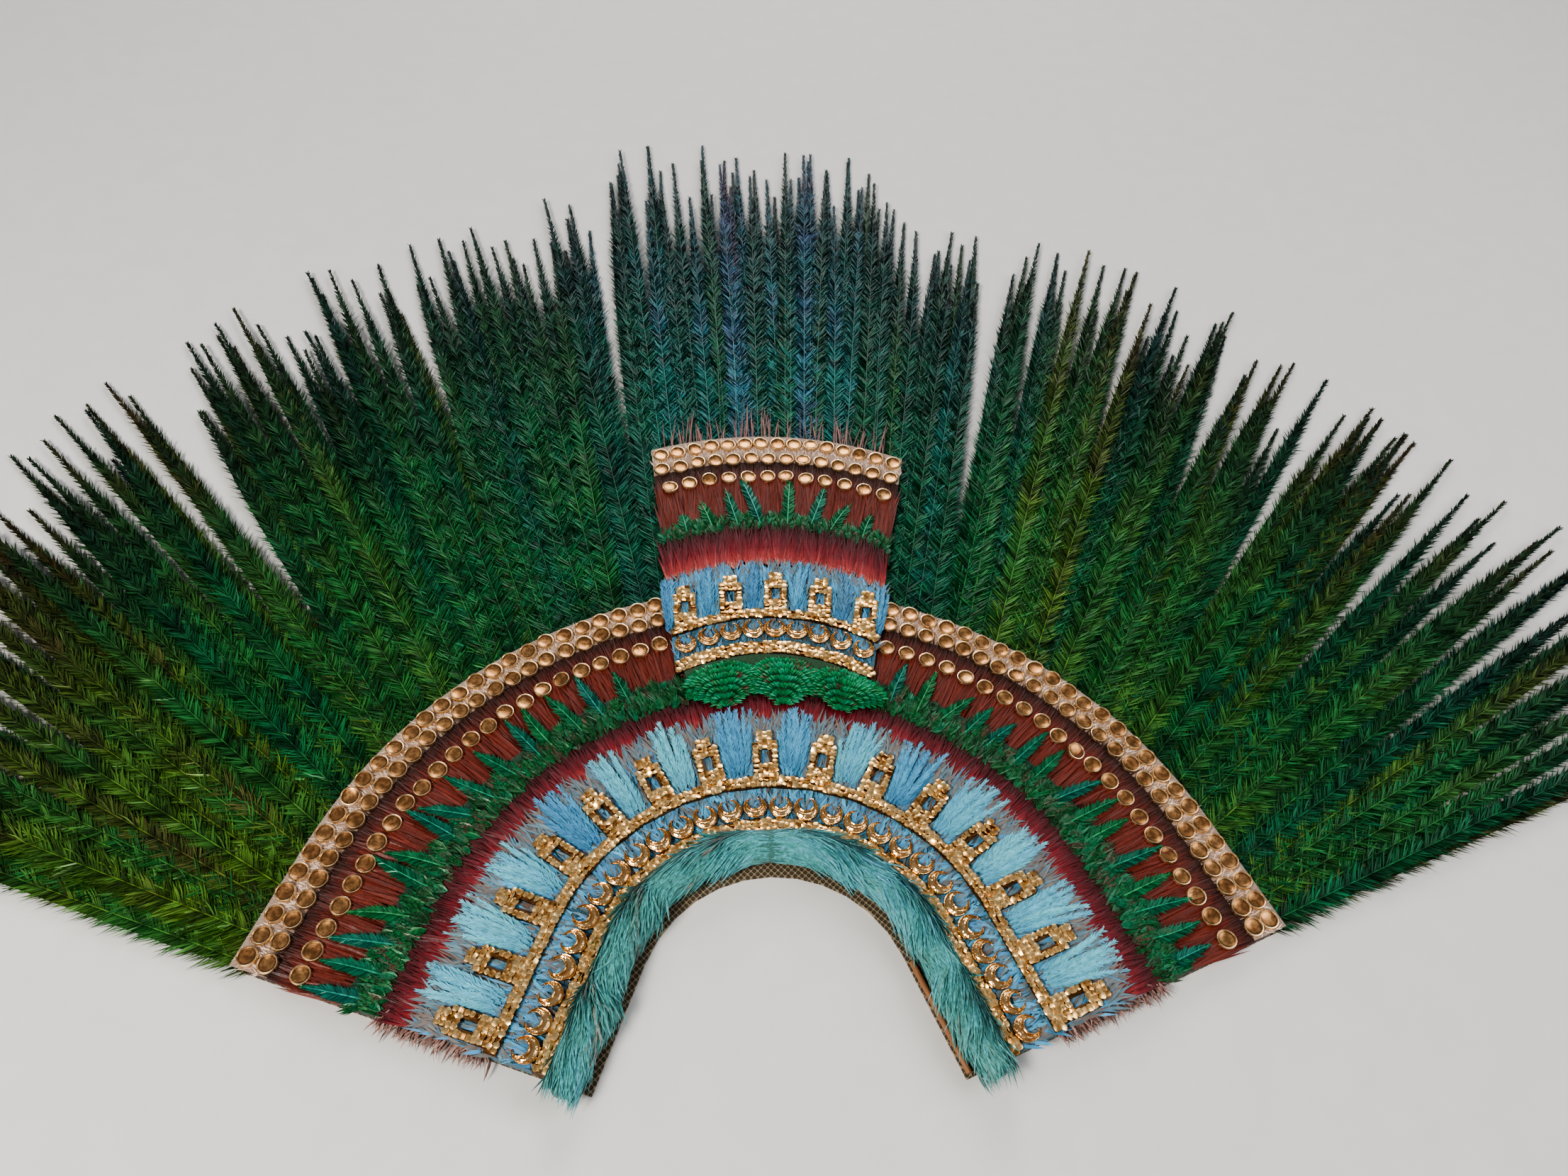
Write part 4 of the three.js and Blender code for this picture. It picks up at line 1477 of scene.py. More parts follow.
@dataclass
class Crest:
    """The scalloped ruff of short green feathers over the crown: lobes of feathers laid like scales."""

    tongue: Tongue
    centre: np.ndarray
    inner: float = 238.0
    notch: float = 15.0
    lobes: int = 3
    reach: tuple[float, float] = (-0.92, 1.12)
    edge: float = 16.0
    top: float = 21.0
    width: float = 165.0
    depth: float = 36.0

    def _outer(self, share: np.ndarray) -> np.ndarray:
        """Points of the outer edge, just under the tongue's foot."""
        across = self.reach[0] + (self.reach[1] - self.reach[0]) * share
        return self.tongue.at(across * self.tongue.half(0.0), -1.5, 0.0).point - self.centre

    def _point(self, share: np.ndarray, depth: np.ndarray) -> tuple[np.ndarray, np.ndarray]:
        """Points of the ruff's face, and the direction outwards there.

        Args:
            share: the way across, from 0 to 1.
            depth: the way from its inner edge to its outer edge, from 0 to 1.

        Returns:
            Points and directions.
        """
        outer = self._outer(share)
        far = np.linalg.norm(outer, axis=-1)
        lobe = np.abs(np.cos(share * self.lobes * math.pi))
        near = self.inner + self.notch * lobe
        out = outer / far[:, None]
        point = self.centre + out * (near + (far - near) * depth)[:, None]
        dome = np.sin(np.clip(depth, 0.0, 1.0) * math.pi) * (0.55 + 0.45 * (1 - lobe))
        point[:, 2] = self.edge + (self.top - self.edge) * dome
        return point, out

    def build(self, shop: Workshop) -> None:
        """Makes the ruff's body and its feathers."""
        bpy.ops.mesh.primitive_grid_add(x_subdivisions=48, y_subdivisions=6, size=2.0)
        body = fresh("crest_body")
        shares = np.array([(v.co.x + 1) / 2 for v in body.data.vertices])
        depths = np.array([(v.co.y + 1) / 2 for v in body.data.vertices])
        for vertex, place in zip(body.data.vertices, self._point(shares, depths)[0]):
            vertex.co = Vector(place) * MM
        apply(body, "SOLIDIFY", thickness=1.4 * MM, offset=-1.0)
        round_edges(body)
        shop.dress(body, FeltFinish("crest_felt", (0.01, 0.04, 0.015), (0.012, 0.12, 0.03)),
            "leaf_green", ["green_crest"])

        rng = np.random.default_rng(8)
        strips = Strips()
        for lobe in range(self.lobes):
            for row, radius in enumerate(np.arange(3.0, 34.0, 4.6)):
                turns = np.arange(-1.9, 1.9, 2.6 / (radius + 4.0))
                turns = turns + rng.normal(0.0, 0.03, len(turns))
                share = (lobe + 0.5) / self.lobes + np.sin(turns) * radius / self.width
                depth = -0.1 + np.cos(turns) * radius / self.depth
                inside = (share > 0.0) & (share < 1.0) & (np.abs(share * self.lobes - lobe - 0.5) < 0.56)
                kept = inside & (depth > -0.08) & (depth < 0.84)
                if not kept.any():
                    continue
                turns, share, depth = turns[kept], share[kept], depth[kept]
                root, out = self._point(share, depth)
                n = len(turns)
                across = np.cross(out, UP)
                tint = rng.uniform(0.28, 1.0, n) * np.where(rng.uniform(0, 1, n) < 0.07, 0.0, 1.0)
                for spread in (-0.55, 0.0, 0.55):
                    lean = turns + spread + rng.normal(0.0, 0.1, n)
                    way = out * np.cos(lean)[:, None] + across * np.sin(lean)[:, None]
                    strips.add(
                        root + UP * (0.8 - 0.1 * row), way, rng.uniform(6.0, 8.4, n),
                        rng.uniform(2.4, 3.4, n),
                        patch(np.clip(tint + rng.normal(0.0, 0.05, n), 0, 0.99), (0.5, 0.5), (0.05, 0.98)),
                        profile=(0.5, 1.0, 0.7, 0.0), bend=-spread * 0.2, lift=0.28, droop=0.26,
                        roll=spread * 0.5,
                    )
        shop.dress(strips.mesh("crest_feathers"), CREST_FEATHERS, "leaf_green")


@dataclass
class Coverts:
    """Short feathers of the green band, as small clusters that overlap outwards."""

    ground: Ground
    name: str
    roots: tuple[float, float]
    heights: tuple[float, float]
    clusters: int
    length: tuple[float, float] = (10.0, 19.0)

    def build(self, shop: Workshop) -> None:
        """Makes the clusters."""
        rng = np.random.default_rng(self.clusters)
        n = self.clusters
        row = sum(self.roots) / 2
        reach = self.ground.reach(row) - 2.0
        along = np.linspace(-reach, reach, n) + rng.normal(0.0, 3.0, n)
        share = rng.uniform(0.0, 1.0, n)
        offset = self.roots[0] + (self.roots[1] - self.roots[0]) * share
        places = self.ground.at(np.clip(along, -reach, reach), offset, row)
        root = places.raised(self.heights[0] + (self.heights[1] - self.heights[0]) * share)
        middle = rng.normal(0.0, 0.35, n)
        tint = rng.uniform(0.0, 1.0, n) ** 0.8
        length = rng.uniform(*self.length, n)
        strips = Strips()
        for spread in np.linspace(-0.6, 0.6, 7):
            turn = middle + spread
            way = places.out * np.cos(turn)[:, None] + places.along * np.sin(turn)[:, None]
            strips.add(
                root, way, length * (1.0 - 0.5 * abs(spread)), rng.uniform(1.6, 2.8, n),
                patch(tint, (0.5, 0.5), (0.1, 0.95)), profile=(0.5, 1.0, 0.7, 0.0),
                bend=-spread * 0.35, lift=rng.uniform(0.1, 0.3, n), droop=0.22, roll=spread * 0.8,
            )
        shop.dress(strips.mesh(self.name), COVERTS, "leaf_green")


@dataclass
class GoldCups:
    """Rows of dished gold cups with a raised lip."""

    ground: Ground
    name: str
    radius: float = 7.3
    sides: int = 20

    def _model(self) -> Stamp:
        """One cup, from a disc raised, drawn in to a lip, and sunk to a dish."""
        bpy.ops.mesh.primitive_circle_add(vertices=self.sides, radius=self.radius, fill_type="NGON")
        model = fresh("cup_model")
        with editing(model):
            extrude((0.0, 0.0, 1.9), 0.985)
            extrude((0.0, 0.0, 0.55), 0.965)
            extrude((0.0, 0.0, 0.1), 0.93)
            extrude((0.0, 0.0, -0.7), 0.94)
            extrude((0.0, 0.0, -0.5), 0.72)
            extrude((0.0, 0.0, -0.15), 0.45)
        close(model)
        return Stamp.of(model)

    def build(self, shop: Workshop, alongs: np.ndarray, offsets: np.ndarray, height: float,
        row: float) -> None:
        """Makes the cups.

        Args:
            shop: finishes the piece.
            alongs: lengths along the row.
            offsets: each cup's offset.
            height: of the face that they stand on.
            row: the offset along which the lengths run.
        """
        rng = np.random.default_rng(len(self.name) + 21)
        n = len(alongs)
        places = self.ground.at(alongs + rng.normal(0.0, 0.35, n), offsets + rng.normal(0.0, 0.7, n), row)
        up = UP + rng.normal(0.0, 0.09, (n, 3))
        origin = places.raised(height - 0.3 + rng.uniform(0.0, 0.5, n))
        spin = rng.uniform(0, 2 * math.pi, n)
        right = places.out * np.cos(spin)[:, None] + places.along * np.sin(spin)[:, None]
        made = self._model().mesh(self.name, origin, right, up, rng.uniform(0.97, 1.04, n),
            rng.integers(0, CELLS, n))
        round_edges(made, 40.0)
        shop.dress(made, CUP_GOLD, "gold")


@dataclass
class GoldPlates:
    """Small overlapping plates of beaten gold, sewn over a strip or a figure."""

    name: str
    side: float = 4.6

    def _model(self) -> Stamp:
        """One plate: a square with cut corners, thin, with a slightly raised middle."""
        bpy.ops.mesh.primitive_plane_add(size=self.side)
        model = fresh("plate_model")
        with editing(model):
            bpy.ops.mesh.bevel(offset=self.side * 0.2, segments=1, affect="VERTICES")
            bpy.ops.mesh.select_all(action="SELECT")
            extrude((0.0, 0.0, 0.35), 0.96)
            extrude((0.0, 0.0, 0.25), 0.62)
        close(model)
        return Stamp.of(model)

    def build(self, shop: Workshop, origin: np.ndarray, right: np.ndarray) -> None:
        """Makes the plates at points, each turned and tipped a little.

        Args:
            shop: finishes the piece.
            origin: where they lie, mm.
            right: the direction along the row there.
        """
        rng = np.random.default_rng(len(self.name) + 60)
        n = len(origin)
        turn = rng.normal(0.0, 0.35, n)[:, None]
        right = right * np.cos(turn) + np.cross(UP, right) * np.sin(turn)
        up = UP + rng.normal(0.0, 0.3, (n, 3))
        lifted = origin + UP * rng.uniform(0.0, 1.0, n)[:, None]
        # each plate's cell sets how lit it is painted, more often towards the lit end
        cells = np.floor(rng.beta(2.2, 1.5, n) * (CELLS - 0.01))
        made = self._model().mesh(self.name, lifted, right, up, rng.uniform(0.82, 1.2, n), cells)
        round_edges(made, 30.0)
        shop.dress(made, PLATE_GOLD, "gold")


@dataclass
class Crescents:
    """Domed gold crescents with raised borders, each an object of its own."""

    radius: float = 9.0
    bite: float = 5.2
    bite_shift: float = 4.1
    heights: tuple[float, ...] = (0.0, 1.5, 1.4, 0.7, 1.5, 2.0, 1.5, 0.7, 1.4, 1.5, 0.0)
    shares: tuple[float, ...] = (0.0, 0.04, 0.11, 0.19, 0.35, 0.5, 0.65, 0.81, 0.89, 0.96, 1.0)

    def _model(self) -> Stamp:
        """One crescent: a strip bent round from horn to horn, ridged across and closed behind."""
        horn_y = (self.radius**2 - self.bite**2 + self.bite_shift**2) / (2 * self.bite_shift)
        horn_x = math.sqrt(self.radius**2 - horn_y**2)
        outside = math.pi / 2 + math.atan2(horn_y, horn_x)
        inside = math.pi / 2 + math.atan2(horn_y - self.bite_shift, horn_x)
        across = len(self.shares) - 1
        bpy.ops.mesh.primitive_grid_add(x_subdivisions=26, y_subdivisions=across, size=2.0)
        model = fresh("crescent_model")
        for vertex in model.data.vertices:
            turn = vertex.co.x * 0.985
            place = round((vertex.co.y + 1) / 2 * across)
            outer = Vector((math.sin(turn * outside), -math.cos(turn * outside), 0.0)) * self.radius
            inner = Vector((math.sin(turn * inside), -math.cos(turn * inside), 0.0)) * self.bite
            inner.y += self.bite_shift
            point = outer.lerp(inner, self.shares[place])
            width = (outer - inner).length / (self.radius - self.bite + self.bite_shift)
            point.z = 0.4 + self.heights[place] * (0.35 + 0.65 * width)
            vertex.co = point
        apply(model, "SOLIDIFY", thickness=0.4, offset=-1.0)
        close(model)
        return Stamp.of(model)

    def build(self, shop: Workshop, ground: Ground, alongs: np.ndarray, offset: float, height: float,
              nodes: Sequence[str]) -> None:
        """Makes the crescents of one row.

        Args:
            shop: finishes the pieces.
            ground: what they lie on.
            alongs: lengths along the row.
            offset: the row's offset.
            height: of the face that they lie on.
            nodes: the frame's node for each.
        """
        rng = np.random.default_rng(33 + len(nodes))
        stamp = self._model()
        places = ground.at(alongs, offset, offset)
        for index, node in enumerate(nodes):
            turn = rng.normal(0.0, 0.1)
            out = places.out[index]
            square = np.cross(out, UP)
            right = square * math.cos(turn) + out * math.sin(turn)
            origin = places.raised(height)[index]
            made = stamp.mesh(
                node.replace("crescent", "gold_crescent"), origin[None], right[None],
                (UP + rng.normal(0.0, 0.06, 3))[None], rng.uniform(0.98, 1.05),
            )
            round_edges(made, 55.0)
            shop.dress(made, CRESCENT_GOLD, "gold", [node])


@dataclass
class EdgeReed:
    """The thin cane along the inner edge of the right leg."""

    ground: Horseshoe
    offset: float = -46.6
    radius: float = 2.2
    start: float = 8.0
    end: float = 90.0
    height: float = 5.6

    def build(self, shop: Workshop) -> None:
        """Makes the cane, with its end edges bevelled."""
        arc = (self.ground.radius + self.offset) * self.ground.spread
        places = self.ground.at([arc + self.start, arc + self.end], self.offset, self.offset)
        near, far = places.raised(self.height)
        length = float(np.linalg.norm(far - near))
        bpy.ops.mesh.primitive_cylinder_add(vertices=16, radius=self.radius * MM, depth=length * MM)
        made = fresh("edge_cane")
        with editing(made):
            bpy.ops.mesh.bevel(offset=0.4 * MM, segments=2)
        turn = Vector((0, 0, 1)).rotation_difference(Vector(far - near)).to_matrix().to_4x4()
        made.data.transform(Matrix.Translation(Vector((near + far) / 2) * MM) @ turn)
        round_edges(made, 40.0)
        heading = math.atan2((far - near)[0], (far - near)[1])
        finish = CaneFinish("split_cane", (0.42, 0.20, 0.09), (0.22, 0.09, 0.04), heading)
        shop.dress(made, finish, "reed", ["edge_reed"])


@dataclass
class Studio:
    """The floor, the lights and the camera."""

    ground: Horseshoe
    camera: tuple[float, float, float] = (-47.2, -274.8, 808.6)  # from the horseshoe's centre
    lens: float = 27.03
    down: float = math.radians(51.32)
    bearing: float = math.radians(6.443)
    roll: float = math.radians(4.126)
    floor_size: float = 14.0  # metres
    room_light: float = 0.26

    def _light(self, name: str, place: Sequence[float], aim: Sequence[float], size: float, power: float,
               colour: Colour = WHITE) -> None:
        """One soft square light that faces a point."""
        data = bpy.data.lights.new(name, "AREA")
        data.shape = "SQUARE"
        data.size = size
        data.energy = power
        data.color = colour
        lamp = bpy.data.objects.new(name, data)
        lamp.location = place
        lamp.rotation_euler = (Vector(aim) - Vector(place)).to_track_quat("-Z", "Y").to_euler()
        bpy.context.scene.collection.objects.link(lamp)

    def build(self) -> None:
        """Makes all of it."""
        bpy.ops.mesh.primitive_plane_add(size=self.floor_size)
        floor = fresh("floor")
        floor.data.materials.append(FloorFinish().build())

        self._light("key", (-1.3, -1.5, 2.0), (0.0, -0.2, 0.0), 0.7, 52.0, (1.0, 0.96, 0.9))
        self._light("fill", (2.0, -0.6, 1.6), (0.0, 0.0, 0.0), 1.6, 20.0, (0.92, 0.96, 1.0))
        self._light("back", (0.2, 2.4, 1.7), (0.0, 0.0, 0.0), 1.4, 26.0)
        world = bpy.data.worlds.new("soft_room")
        world.use_nodes = True
        world.node_tree.nodes["Background"].inputs["Color"].default_value = (0.9, 0.93, 1.0, 1.0)
        world.node_tree.nodes["Background"].inputs["Strength"].default_value = self.room_light
        bpy.context.scene.world = world
        bpy.context.scene.view_settings.view_transform = "AgX"
        bpy.context.scene.view_settings.look = "AgX - High Contrast"

        data = bpy.data.cameras.new("camera")
        data.lens = self.lens
        data.sensor_width = 36.0
        data.clip_start = 0.01
        camera = bpy.data.objects.new("camera", data)
        camera.location = Vector(self.ground.centre + np.array(self.camera)) * MM
        level = math.cos(self.down)
        view = Vector((math.sin(self.bearing) * level, math.cos(self.bearing) * level, -math.sin(self.down)))
        turned = view.to_track_quat("-Z", "Y").to_matrix() @ Matrix.Rotation(self.roll, 3, "Z")
        camera.rotation_euler = turned.to_euler()
        bpy.context.scene.collection.objects.link(camera)
        bpy.context.scene.camera = camera


# ---- The headdress -----------------------------------------------------------------------------------


@dataclass
class Headdress:
    """All the sub-assemblies, in the order in which they are tied on."""

    main: Horseshoe
    tongue: Tongue
    shop: Workshop = field(default_factory=Workshop)
    figures: int = 15
    figure_row: float = 40.0
    figure_margin: float = 12.0
    tongue_figure_reach: float = 0.86
    plume_counts: tuple[tuple[Part, int], ...] = ((Part.LEFT, 86), (Part.RIGHT, 86), (Part.CROWN, 50))

    def plumes(self) -> None:
        """The three fans, and the bare quills over the tongue's end."""
        rng = np.random.default_rng(77)
        n = 90
        quills = Strips()
        along = rng.uniform(-0.9, 0.9, n) * self.tongue.top_half
        roots = self.tongue.at(along, 248.0 + rng.uniform(0.0, 8.0, n), 255.0)
        turn = rng.normal(0.0, 0.09, n)[:, None]
        quills.add(
            roots.raised(12.0), roots.out * np.cos(turn) + roots.along * np.sin(turn),
            rng.uniform(22.0, 58.0, n),
            rng.uniform(0.8, 1.5, n), patch(rng.uniform(0.0, 1.0, n), (0.5, 0.5), (0.0, 1.0)),
            bend=rng.normal(0.0, 0.06, n), droop=0.06,
        )
        self.shop.dress(quills.mesh("bare_quills"), QUILL, "rufous_feather")
        for part, count in self.plume_counts:
            PlumeFan(self.main, part, count).build(self.shop)

    def feather_bands(self) -> None:
        """The bands of strands on the horseshoe and the tongue."""
        brown = FeltFinish("rufous_felt", (0.03, 0.008, 0.005), (0.10, 0.022, 0.012))
        red = FeltFinish("crimson_felt", (0.05, 0.006, 0.006), (0.20, 0.02, 0.02))
        green = FeltFinish("green_felt", (0.004, 0.03, 0.012), (0.008, 0.08, 0.03))
        blue = FeltFinish("blue_felt", (0.05, 0.10, 0.13), (0.08, 0.25, 0.33))
        tape = FeltFinish("tape_weave", (0.34, 0.22, 0.16), (0.62, 0.47, 0.38), 1400.0)
        bands = (
            FeatherBand(self.main, "brown_main", "brown_band_main", "rufous_feather", RUFOUS, brown,
                (126.0, 202.0), 8.6, (
                Lay((118, 150), (10.6, 9.1), (38, 52), (1.2, 2.6), 2800, splay=5, locks=5, lift=0.0,
                    droop=0.0),
                Lay((136, 158), (9.3, 9.3), (34, 42), (1.2, 2.6), 2200, splay=6, locks=6, lift=0.0,
                    droop=0.0),
            )),
            FeatherBand(self.tongue, "brown_tongue", "brown_band_tongue", "rufous_feather", RUFOUS,
                brown, (150.0, 236.0), 13.4, (
                Lay((138, 176), (14.4, 13.6), (40, 54), (1.2, 2.6), 1300, splay=5, locks=5, lift=0.0,
                    droop=0.01, ends=0.98),
                Lay((168, 188), (13.8, 13.8), (34, 42), (1.2, 2.6), 900, splay=6, locks=6, lift=0.0,
                    droop=0.0, ends=0.98),
            )),
            FeatherBand(self.main, "red_main", "red_band_main", "red_feather", CRIMSON, red,
                (72.0, 108.0), 12.6, (
                Lay((70, 84), (13.4, 13.8), (20, 28), (1.0, 2.2), 2600, splay=9, locks=9),
            )),
            FeatherBand(self.tongue, "red_tongue", "red_band_tongue", "red_feather", CRIMSON, red,
                (92.0, 146.0), 14.2, (
                Lay((92, 112), (15.4, 15.6), (30, 40), (1.0, 2.2), 1300, splay=6, locks=10, ends=0.99),
            )),
            FeatherBand(self.main, "green_main", "green_band_main", "leaf_green", COVERTS, green,
                (102.0, 130.0), 12.2, (
                Lay((100, 116), (13.6, 13.2), (10, 18), (1.4, 2.6), 1500, splay=30, locks=14, lift=0.1,
                    droop=0.1),
            )),
            FeatherBand(self.tongue, "green_tongue", "green_band_tongue", "leaf_green", COVERTS, green,
                (140.0, 158.0), 14.2, (
                Lay((134, 148), (15.0, 14.8), (9, 15), (1.4, 2.6), 420, splay=30, locks=14, lift=0.1,
                    droop=0.1, ends=0.98),
            )),
            FeatherBand(self.main, "blue_main", "blue_band_main", "blue_feather", SKY, blue,
                (-8.0, 90.0), 13.2, (
                Lay((-10, 30), (14.0, 14.2), (10, 17), (1.6, 3.0), 2600, splay=32, locks=22, lift=0.06,
                    droop=0.06, bend=0.2, tint=(0.02, 0.75)),
                Lay((26, 66), (14.0, 14.0), (13, 20), (1.6, 3.0), 2600, splay=24, locks=14, lift=0.14,
                    droop=0.12, bend=0.2, tint=(0.02, 0.6)),
                Lay((56, 70), (14.2, 14.6), (14, 22), (1.4, 2.6), 1500, splay=26, locks=20, lift=0.2,
                    droop=0.12, bend=0.2, tint=(0.02, 0.34)),
            )),
            FeatherBand(self.tongue, "blue_tongue", "blue_band_tongue", "blue_feather", SKY, blue,
                (12.0, 108.0), 14.2, (
                Lay((12, 40), (15.0, 15.2), (9, 15), (1.4, 2.6), 620, splay=32, locks=22, lift=0.06,
                    droop=0.06, bend=0.2, tint=(0.05, 0.6), ends=0.99),
                Lay((38, 84), (15.2, 15.4), (12, 18), (1.4, 2.6), 900, splay=22, locks=14, lift=0.18,
                    droop=0.12, bend=0.2, tint=(0.2, 0.7)),
                Lay((76, 88), (15.4, 15.8), (10, 17), (1.2, 2.2), 420, splay=24, locks=18, lift=0.2,
                    droop=0.12, bend=0.2, tint=(0.04, 0.6)),
            )),
            FeatherBand(self.main, "tape_main", "rim_band_main", "tape", FUZZ, tape, (186.0, 216.0), 9.0, (
                Lay((192, 210), (9.2, 9.2), (4, 8), (0.6, 1.2), 3000, splay=40, lift=0.12, droop=0.1,
                    bend=0.25),
            ), bottom=7.6),
            FeatherBand(self.tongue, "tape_tongue", "rim_band_tongue", "tape", FUZZ, tape,
                (222.0, 256.0), 13.8, (
                Lay((232, 250), (14.0, 14.0), (4, 8), (0.6, 1.2), 900, splay=40, lift=0.12, droop=0.1,
                    bend=0.25),
            )),
        )
        for band in bands:
            band.build(self.shop)

    def green_feathers(self) -> None:
        """Coverts, leaf feathers and the crest."""
        Coverts(self.main, "coverts_main", (100.0, 122.0), (13.6, 12.8), 620).build(self.shop)
        Coverts(self.tongue, "coverts_tongue", (134.0, 150.0), (15.0, 14.8), 150,
            (8.0, 14.0)).build(self.shop)
        rng = np.random.default_rng(2)
        side = np.linspace(106.0, self.main.reach(112.0) - 6.0, 15)
        alongs = np.concatenate([-side, side]) + rng.normal(0.0, 2.0, 30)
        LeafBand(
            self.main, "leaf_feathers_main", 112.0, 13.2, rng.uniform(37.0, 54.0, 30), alongs,
            np.sign(alongs) * 6.0 + rng.normal(0.0, 7.0, 30),
        ).build(self.shop)
        across = np.array([-0.78, -0.56, -0.34, -0.14, 0.1, 0.3, 0.48, 0.76])
        lengths = np.array([24.0, 36.0, 48.0, 66.0, 66.0, 56.0, 40.0, 32.0])
        turns = np.array([-6.0, -14.0, -14.0, -15.0, 0.0, 16.0, 22.0, 6.0])
        LeafBand(
            self.tongue, "leaf_feathers_tongue", 143.0, 15.2, lengths, across * self.tongue.half(143.0), turns
        ).build(self.shop)
        Crest(self.tongue, self.main.centre).build(self.shop)

    def wisps(self) -> None:
        """Loose down that sticks out past both feet of the blue and red bands."""
        rng = np.random.default_rng(19)
        strips = Strips()
        n = 520
        offset = rng.uniform(20.0, 104.0, n)
        hand = np.where(rng.uniform(0, 1, n) < 0.5, -1.0, 1.0)
        spots = [self.main.at([h * (self.main.reach(w) - b)], w, w) for h, w,
            b in zip(hand, offset, rng.uniform(0, 7, n))]
        point = np.concatenate([p.point for p in spots])
        out, along = (np.concatenate([getattr(p, name) for p in spots]) for name in ("out", "along"))
        point[:, 2] = rng.uniform(5.0, 14.0, n)
        turn = rng.normal(0.35, 0.4, n)[:, None]
        strips.add(
            point, along * hand[:, None] * np.cos(turn) + out * np.sin(turn), rng.uniform(7.0, 15.0, n),
            rng.uniform(0.8, 2.0, n), patch(rng.uniform(0.0, 1.0, n), (0.5, 0.5), (0.0, 1.0)),
            profile=(0.7, 1.0, 0.6, 0.0), bend=rng.normal(0.0, 0.2, n), lift=0.1, droop=0.35,
        )
        self.shop.dress(strips.mesh("foot_wisps"), WISPS, "blue_feather")

    def _figure_alongs(self) -> np.ndarray:
        """Where the stepped figures stand, as lengths along their row."""
        last = self.main.reach(self.figure_row) - self.figure_margin
        return np.linspace(-last, last, self.figures)

    def tufts(self) -> None:
        """The raised blue bundles between the figures."""
        alongs = self._figure_alongs()
        Tufts(
            self.main, "tufts_main", self.figure_row, 28.0, 14.4, (alongs[1:] + alongs[:-1]) / 2, 58.0,
            fan=5.0, width=16.0, feathers=15, tints=(0.9, 0.95, 0.86, 0.55, 0.93, 0.97, 0.6, 0.62, 0.9,
            0.58, 0.85, 0.92),
        ).build(self.shop)
        shares = np.linspace(-self.tongue_figure_reach, self.tongue_figure_reach, 5)
        halves = (shares[1:] + shares[:-1]) / 2
        between = np.array([-0.99, *halves, 0.97]) * self.tongue.half(60.0)
        Tufts(
            self.tongue, "tufts_tongue", 60.0, 44.0, 15.6, between, 50.0,
            fan=3.0, width=8.0, feathers=8, tints=(0.5, 0.55, 0.46, 0.6, 0.42, 0.52),
        ).build(self.shop)

    def cups(self) -> None:
        """The rows of gold cups."""
        radius = GoldCups.radius
        for name, offset, pitch, height in (
            ("cups_main_loose", 166.0, 16.8, 10.6), ("cups_main_second", 191.6, 15.9, 10.0),
                ("cups_main_outer", 207.0, 15.8, 9.6)
        ):
            last = self.main.reach(offset) - radius - 1.0
            sides = []
            for hand in (-1.0, 1.0):
                up = self.main.radius + offset - self.tongue.foot
                edge = self.tongue.at([hand * self.tongue.half(up)], up, up).point[0] - self.main.centre
                ring = self.main.radius + offset
                first = math.asin(abs(edge[0]) / ring) * ring + radius + 4.0
                sides.append(hand * np.linspace(first, last, int((last - first) // pitch) + 1))
            alongs = np.concatenate(sides)
            GoldCups(self.main, name).build(self.shop, alongs, np.full(len(alongs), offset), height, offset)
        for name, offset, count, reach in (
            ("cups_tongue_loose", 202.0, 12, 0.89), ("cups_tongue_second", 225.0, 14, 0.935),
                ("cups_tongue_outer", 245.0, 15, 0.935)
        ):
            height = 14.6
            alongs = np.linspace(-reach, reach, count) * self.tongue.half(offset)
            GoldCups(self.tongue, name).build(self.shop, alongs, np.full(count, offset), height, offset)

    def _strip_plates(self, ground: Ground, rows: Sequence[float], pitch: float, height: float,
                      ends: float = 1.0) -> tuple[np.ndarray, np.ndarray]:
        """Places of plates in rows along a strip."""
        points, rights = [], []
        for index, offset in enumerate(rows):
            reach = (ground.reach(offset) - 2.4) * ends
            count = int(2 * reach / pitch)
            places = ground.at(np.linspace(-reach, reach, count) + (index % 2) * pitch / 2, offset, offset)
            points.append(places.raised(height))
            rights.append(places.along)
        return np.concatenate(points), np.concatenate(rights)

    def _figure_plates(self, ground: Ground, along: float, foot: float, row: float, height: float,
                       size: float = 1.0) -> tuple[np.ndarray, np.ndarray]:
        """Places of plates that cover one stepped figure but for its window."""
        columns = [
            (x, y)
            for y in np.arange(3.0, 40.0, 4.1)
            for x in (np.arange(-7.4, 8.0, 3.7) if y < 32 else np.arange(-3.7, 4.0, 3.7))
            if not (13.0 < y < 27.0 and abs(x) < 5.0)
        ]
        x, y = np.array(columns).T * size
        base = ground.at([along], foot, row)
        points = base.point + np.outer(x, np.cross(base.out[0], UP)) + np.outer(y, base.out[0])
        points[:, 2] = height
        return points, np.tile(np.cross(base.out[0], UP), (len(x), 1))

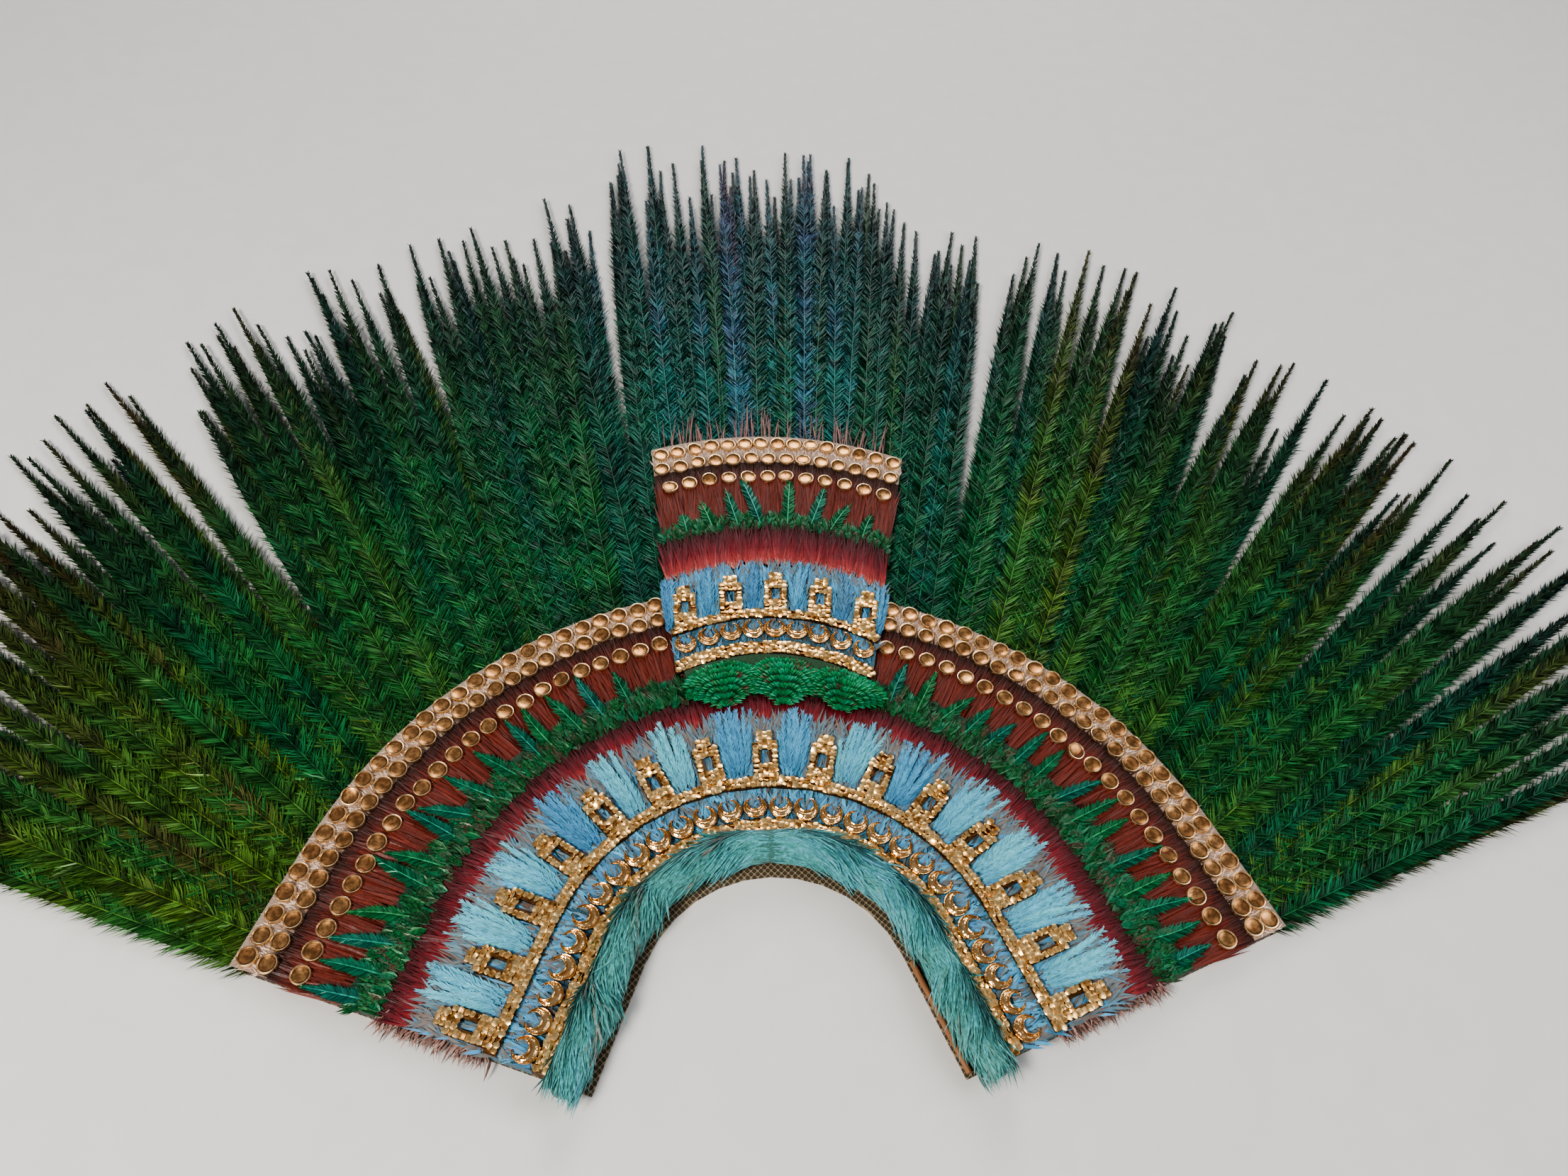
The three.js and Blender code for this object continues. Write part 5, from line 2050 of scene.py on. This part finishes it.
    def gold(self) -> None:
        """Settings, plates and crescents."""
        for node in ("gold_edge_main", "gold_edge_tongue", "gold_frieze_main", "gold_frieze_tongue"):
            self.shop.refinish(node, SETTING_GOLD)
        edge = self._strip_plates(self.main, (-17.6, -14.0, -10.6), 3.9, 14.4)
        course = self._strip_plates(self.main, (19.0, 23.4), 3.9, 17.0)
        alongs = self._figure_alongs()
        figures = [self._figure_plates(self.main, a, 23.0, self.figure_row, 17.8) for a in alongs]
        sets = [edge, course, *figures]
        GoldPlates("plates_main").build(
            self.shop, np.concatenate([s[0] for s in sets]), np.concatenate([s[1] for s in sets])
        )
        edge = self._strip_plates(self.tongue, (2.0, 5.8, 9.6), 3.8, 15.4)
        course = self._strip_plates(self.tongue, (37.6, 41.4), 3.8, 18.0)
        feet = np.linspace(-self.tongue_figure_reach, self.tongue_figure_reach, 5) * self.tongue.half(40.0)
        figures = [self._figure_plates(self.tongue, a, 40.0, 40.0, 18.8) for a in feet]
        sets = [edge, course, *figures]
        GoldPlates("plates_tongue").build(
            self.shop, np.concatenate([s[0] for s in sets]), np.concatenate([s[1] for s in sets])
        )
        crescents = Crescents()
        last = self.main.reach(0.0) - 10.0
        crescents.build(self.shop, self.main, np.linspace(-last, last, 28), 0.0, 15.6,
                        [f"crescent_main_{i:02d}" for i in range(1, 29)])
        half = self.tongue.half(23.5) * 0.88
        crescents.build(self.shop, self.tongue, np.linspace(-half, half, 9), 23.5, 16.4,
                        [f"crescent_tongue_{i}" for i in range(1, 10)])

    def backing(self) -> None:
        """Net, roll and cane."""
        for node in ("backing", "tongue_backing"):
            self.shop.refinish(node, NET)
        BrowRoll(self.main).build(self.shop)
        EdgeReed(self.main).build(self.shop)


def main() -> None:
    """Builds the headdress in order and finishes the scene."""
    logging.basicConfig(level=logging.INFO, format="%(message)s")
    shoe = Horseshoe.from_frame()
    made = Headdress(shoe, Tongue(shoe.centre))
    made.backing()
    made.plumes()
    made.feather_bands()
    made.green_feathers()
    made.tufts()
    made.wisps()
    made.cups()
    made.gold()
    Studio(shoe).build()
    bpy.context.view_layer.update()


if __name__ == "__main__":
    main()
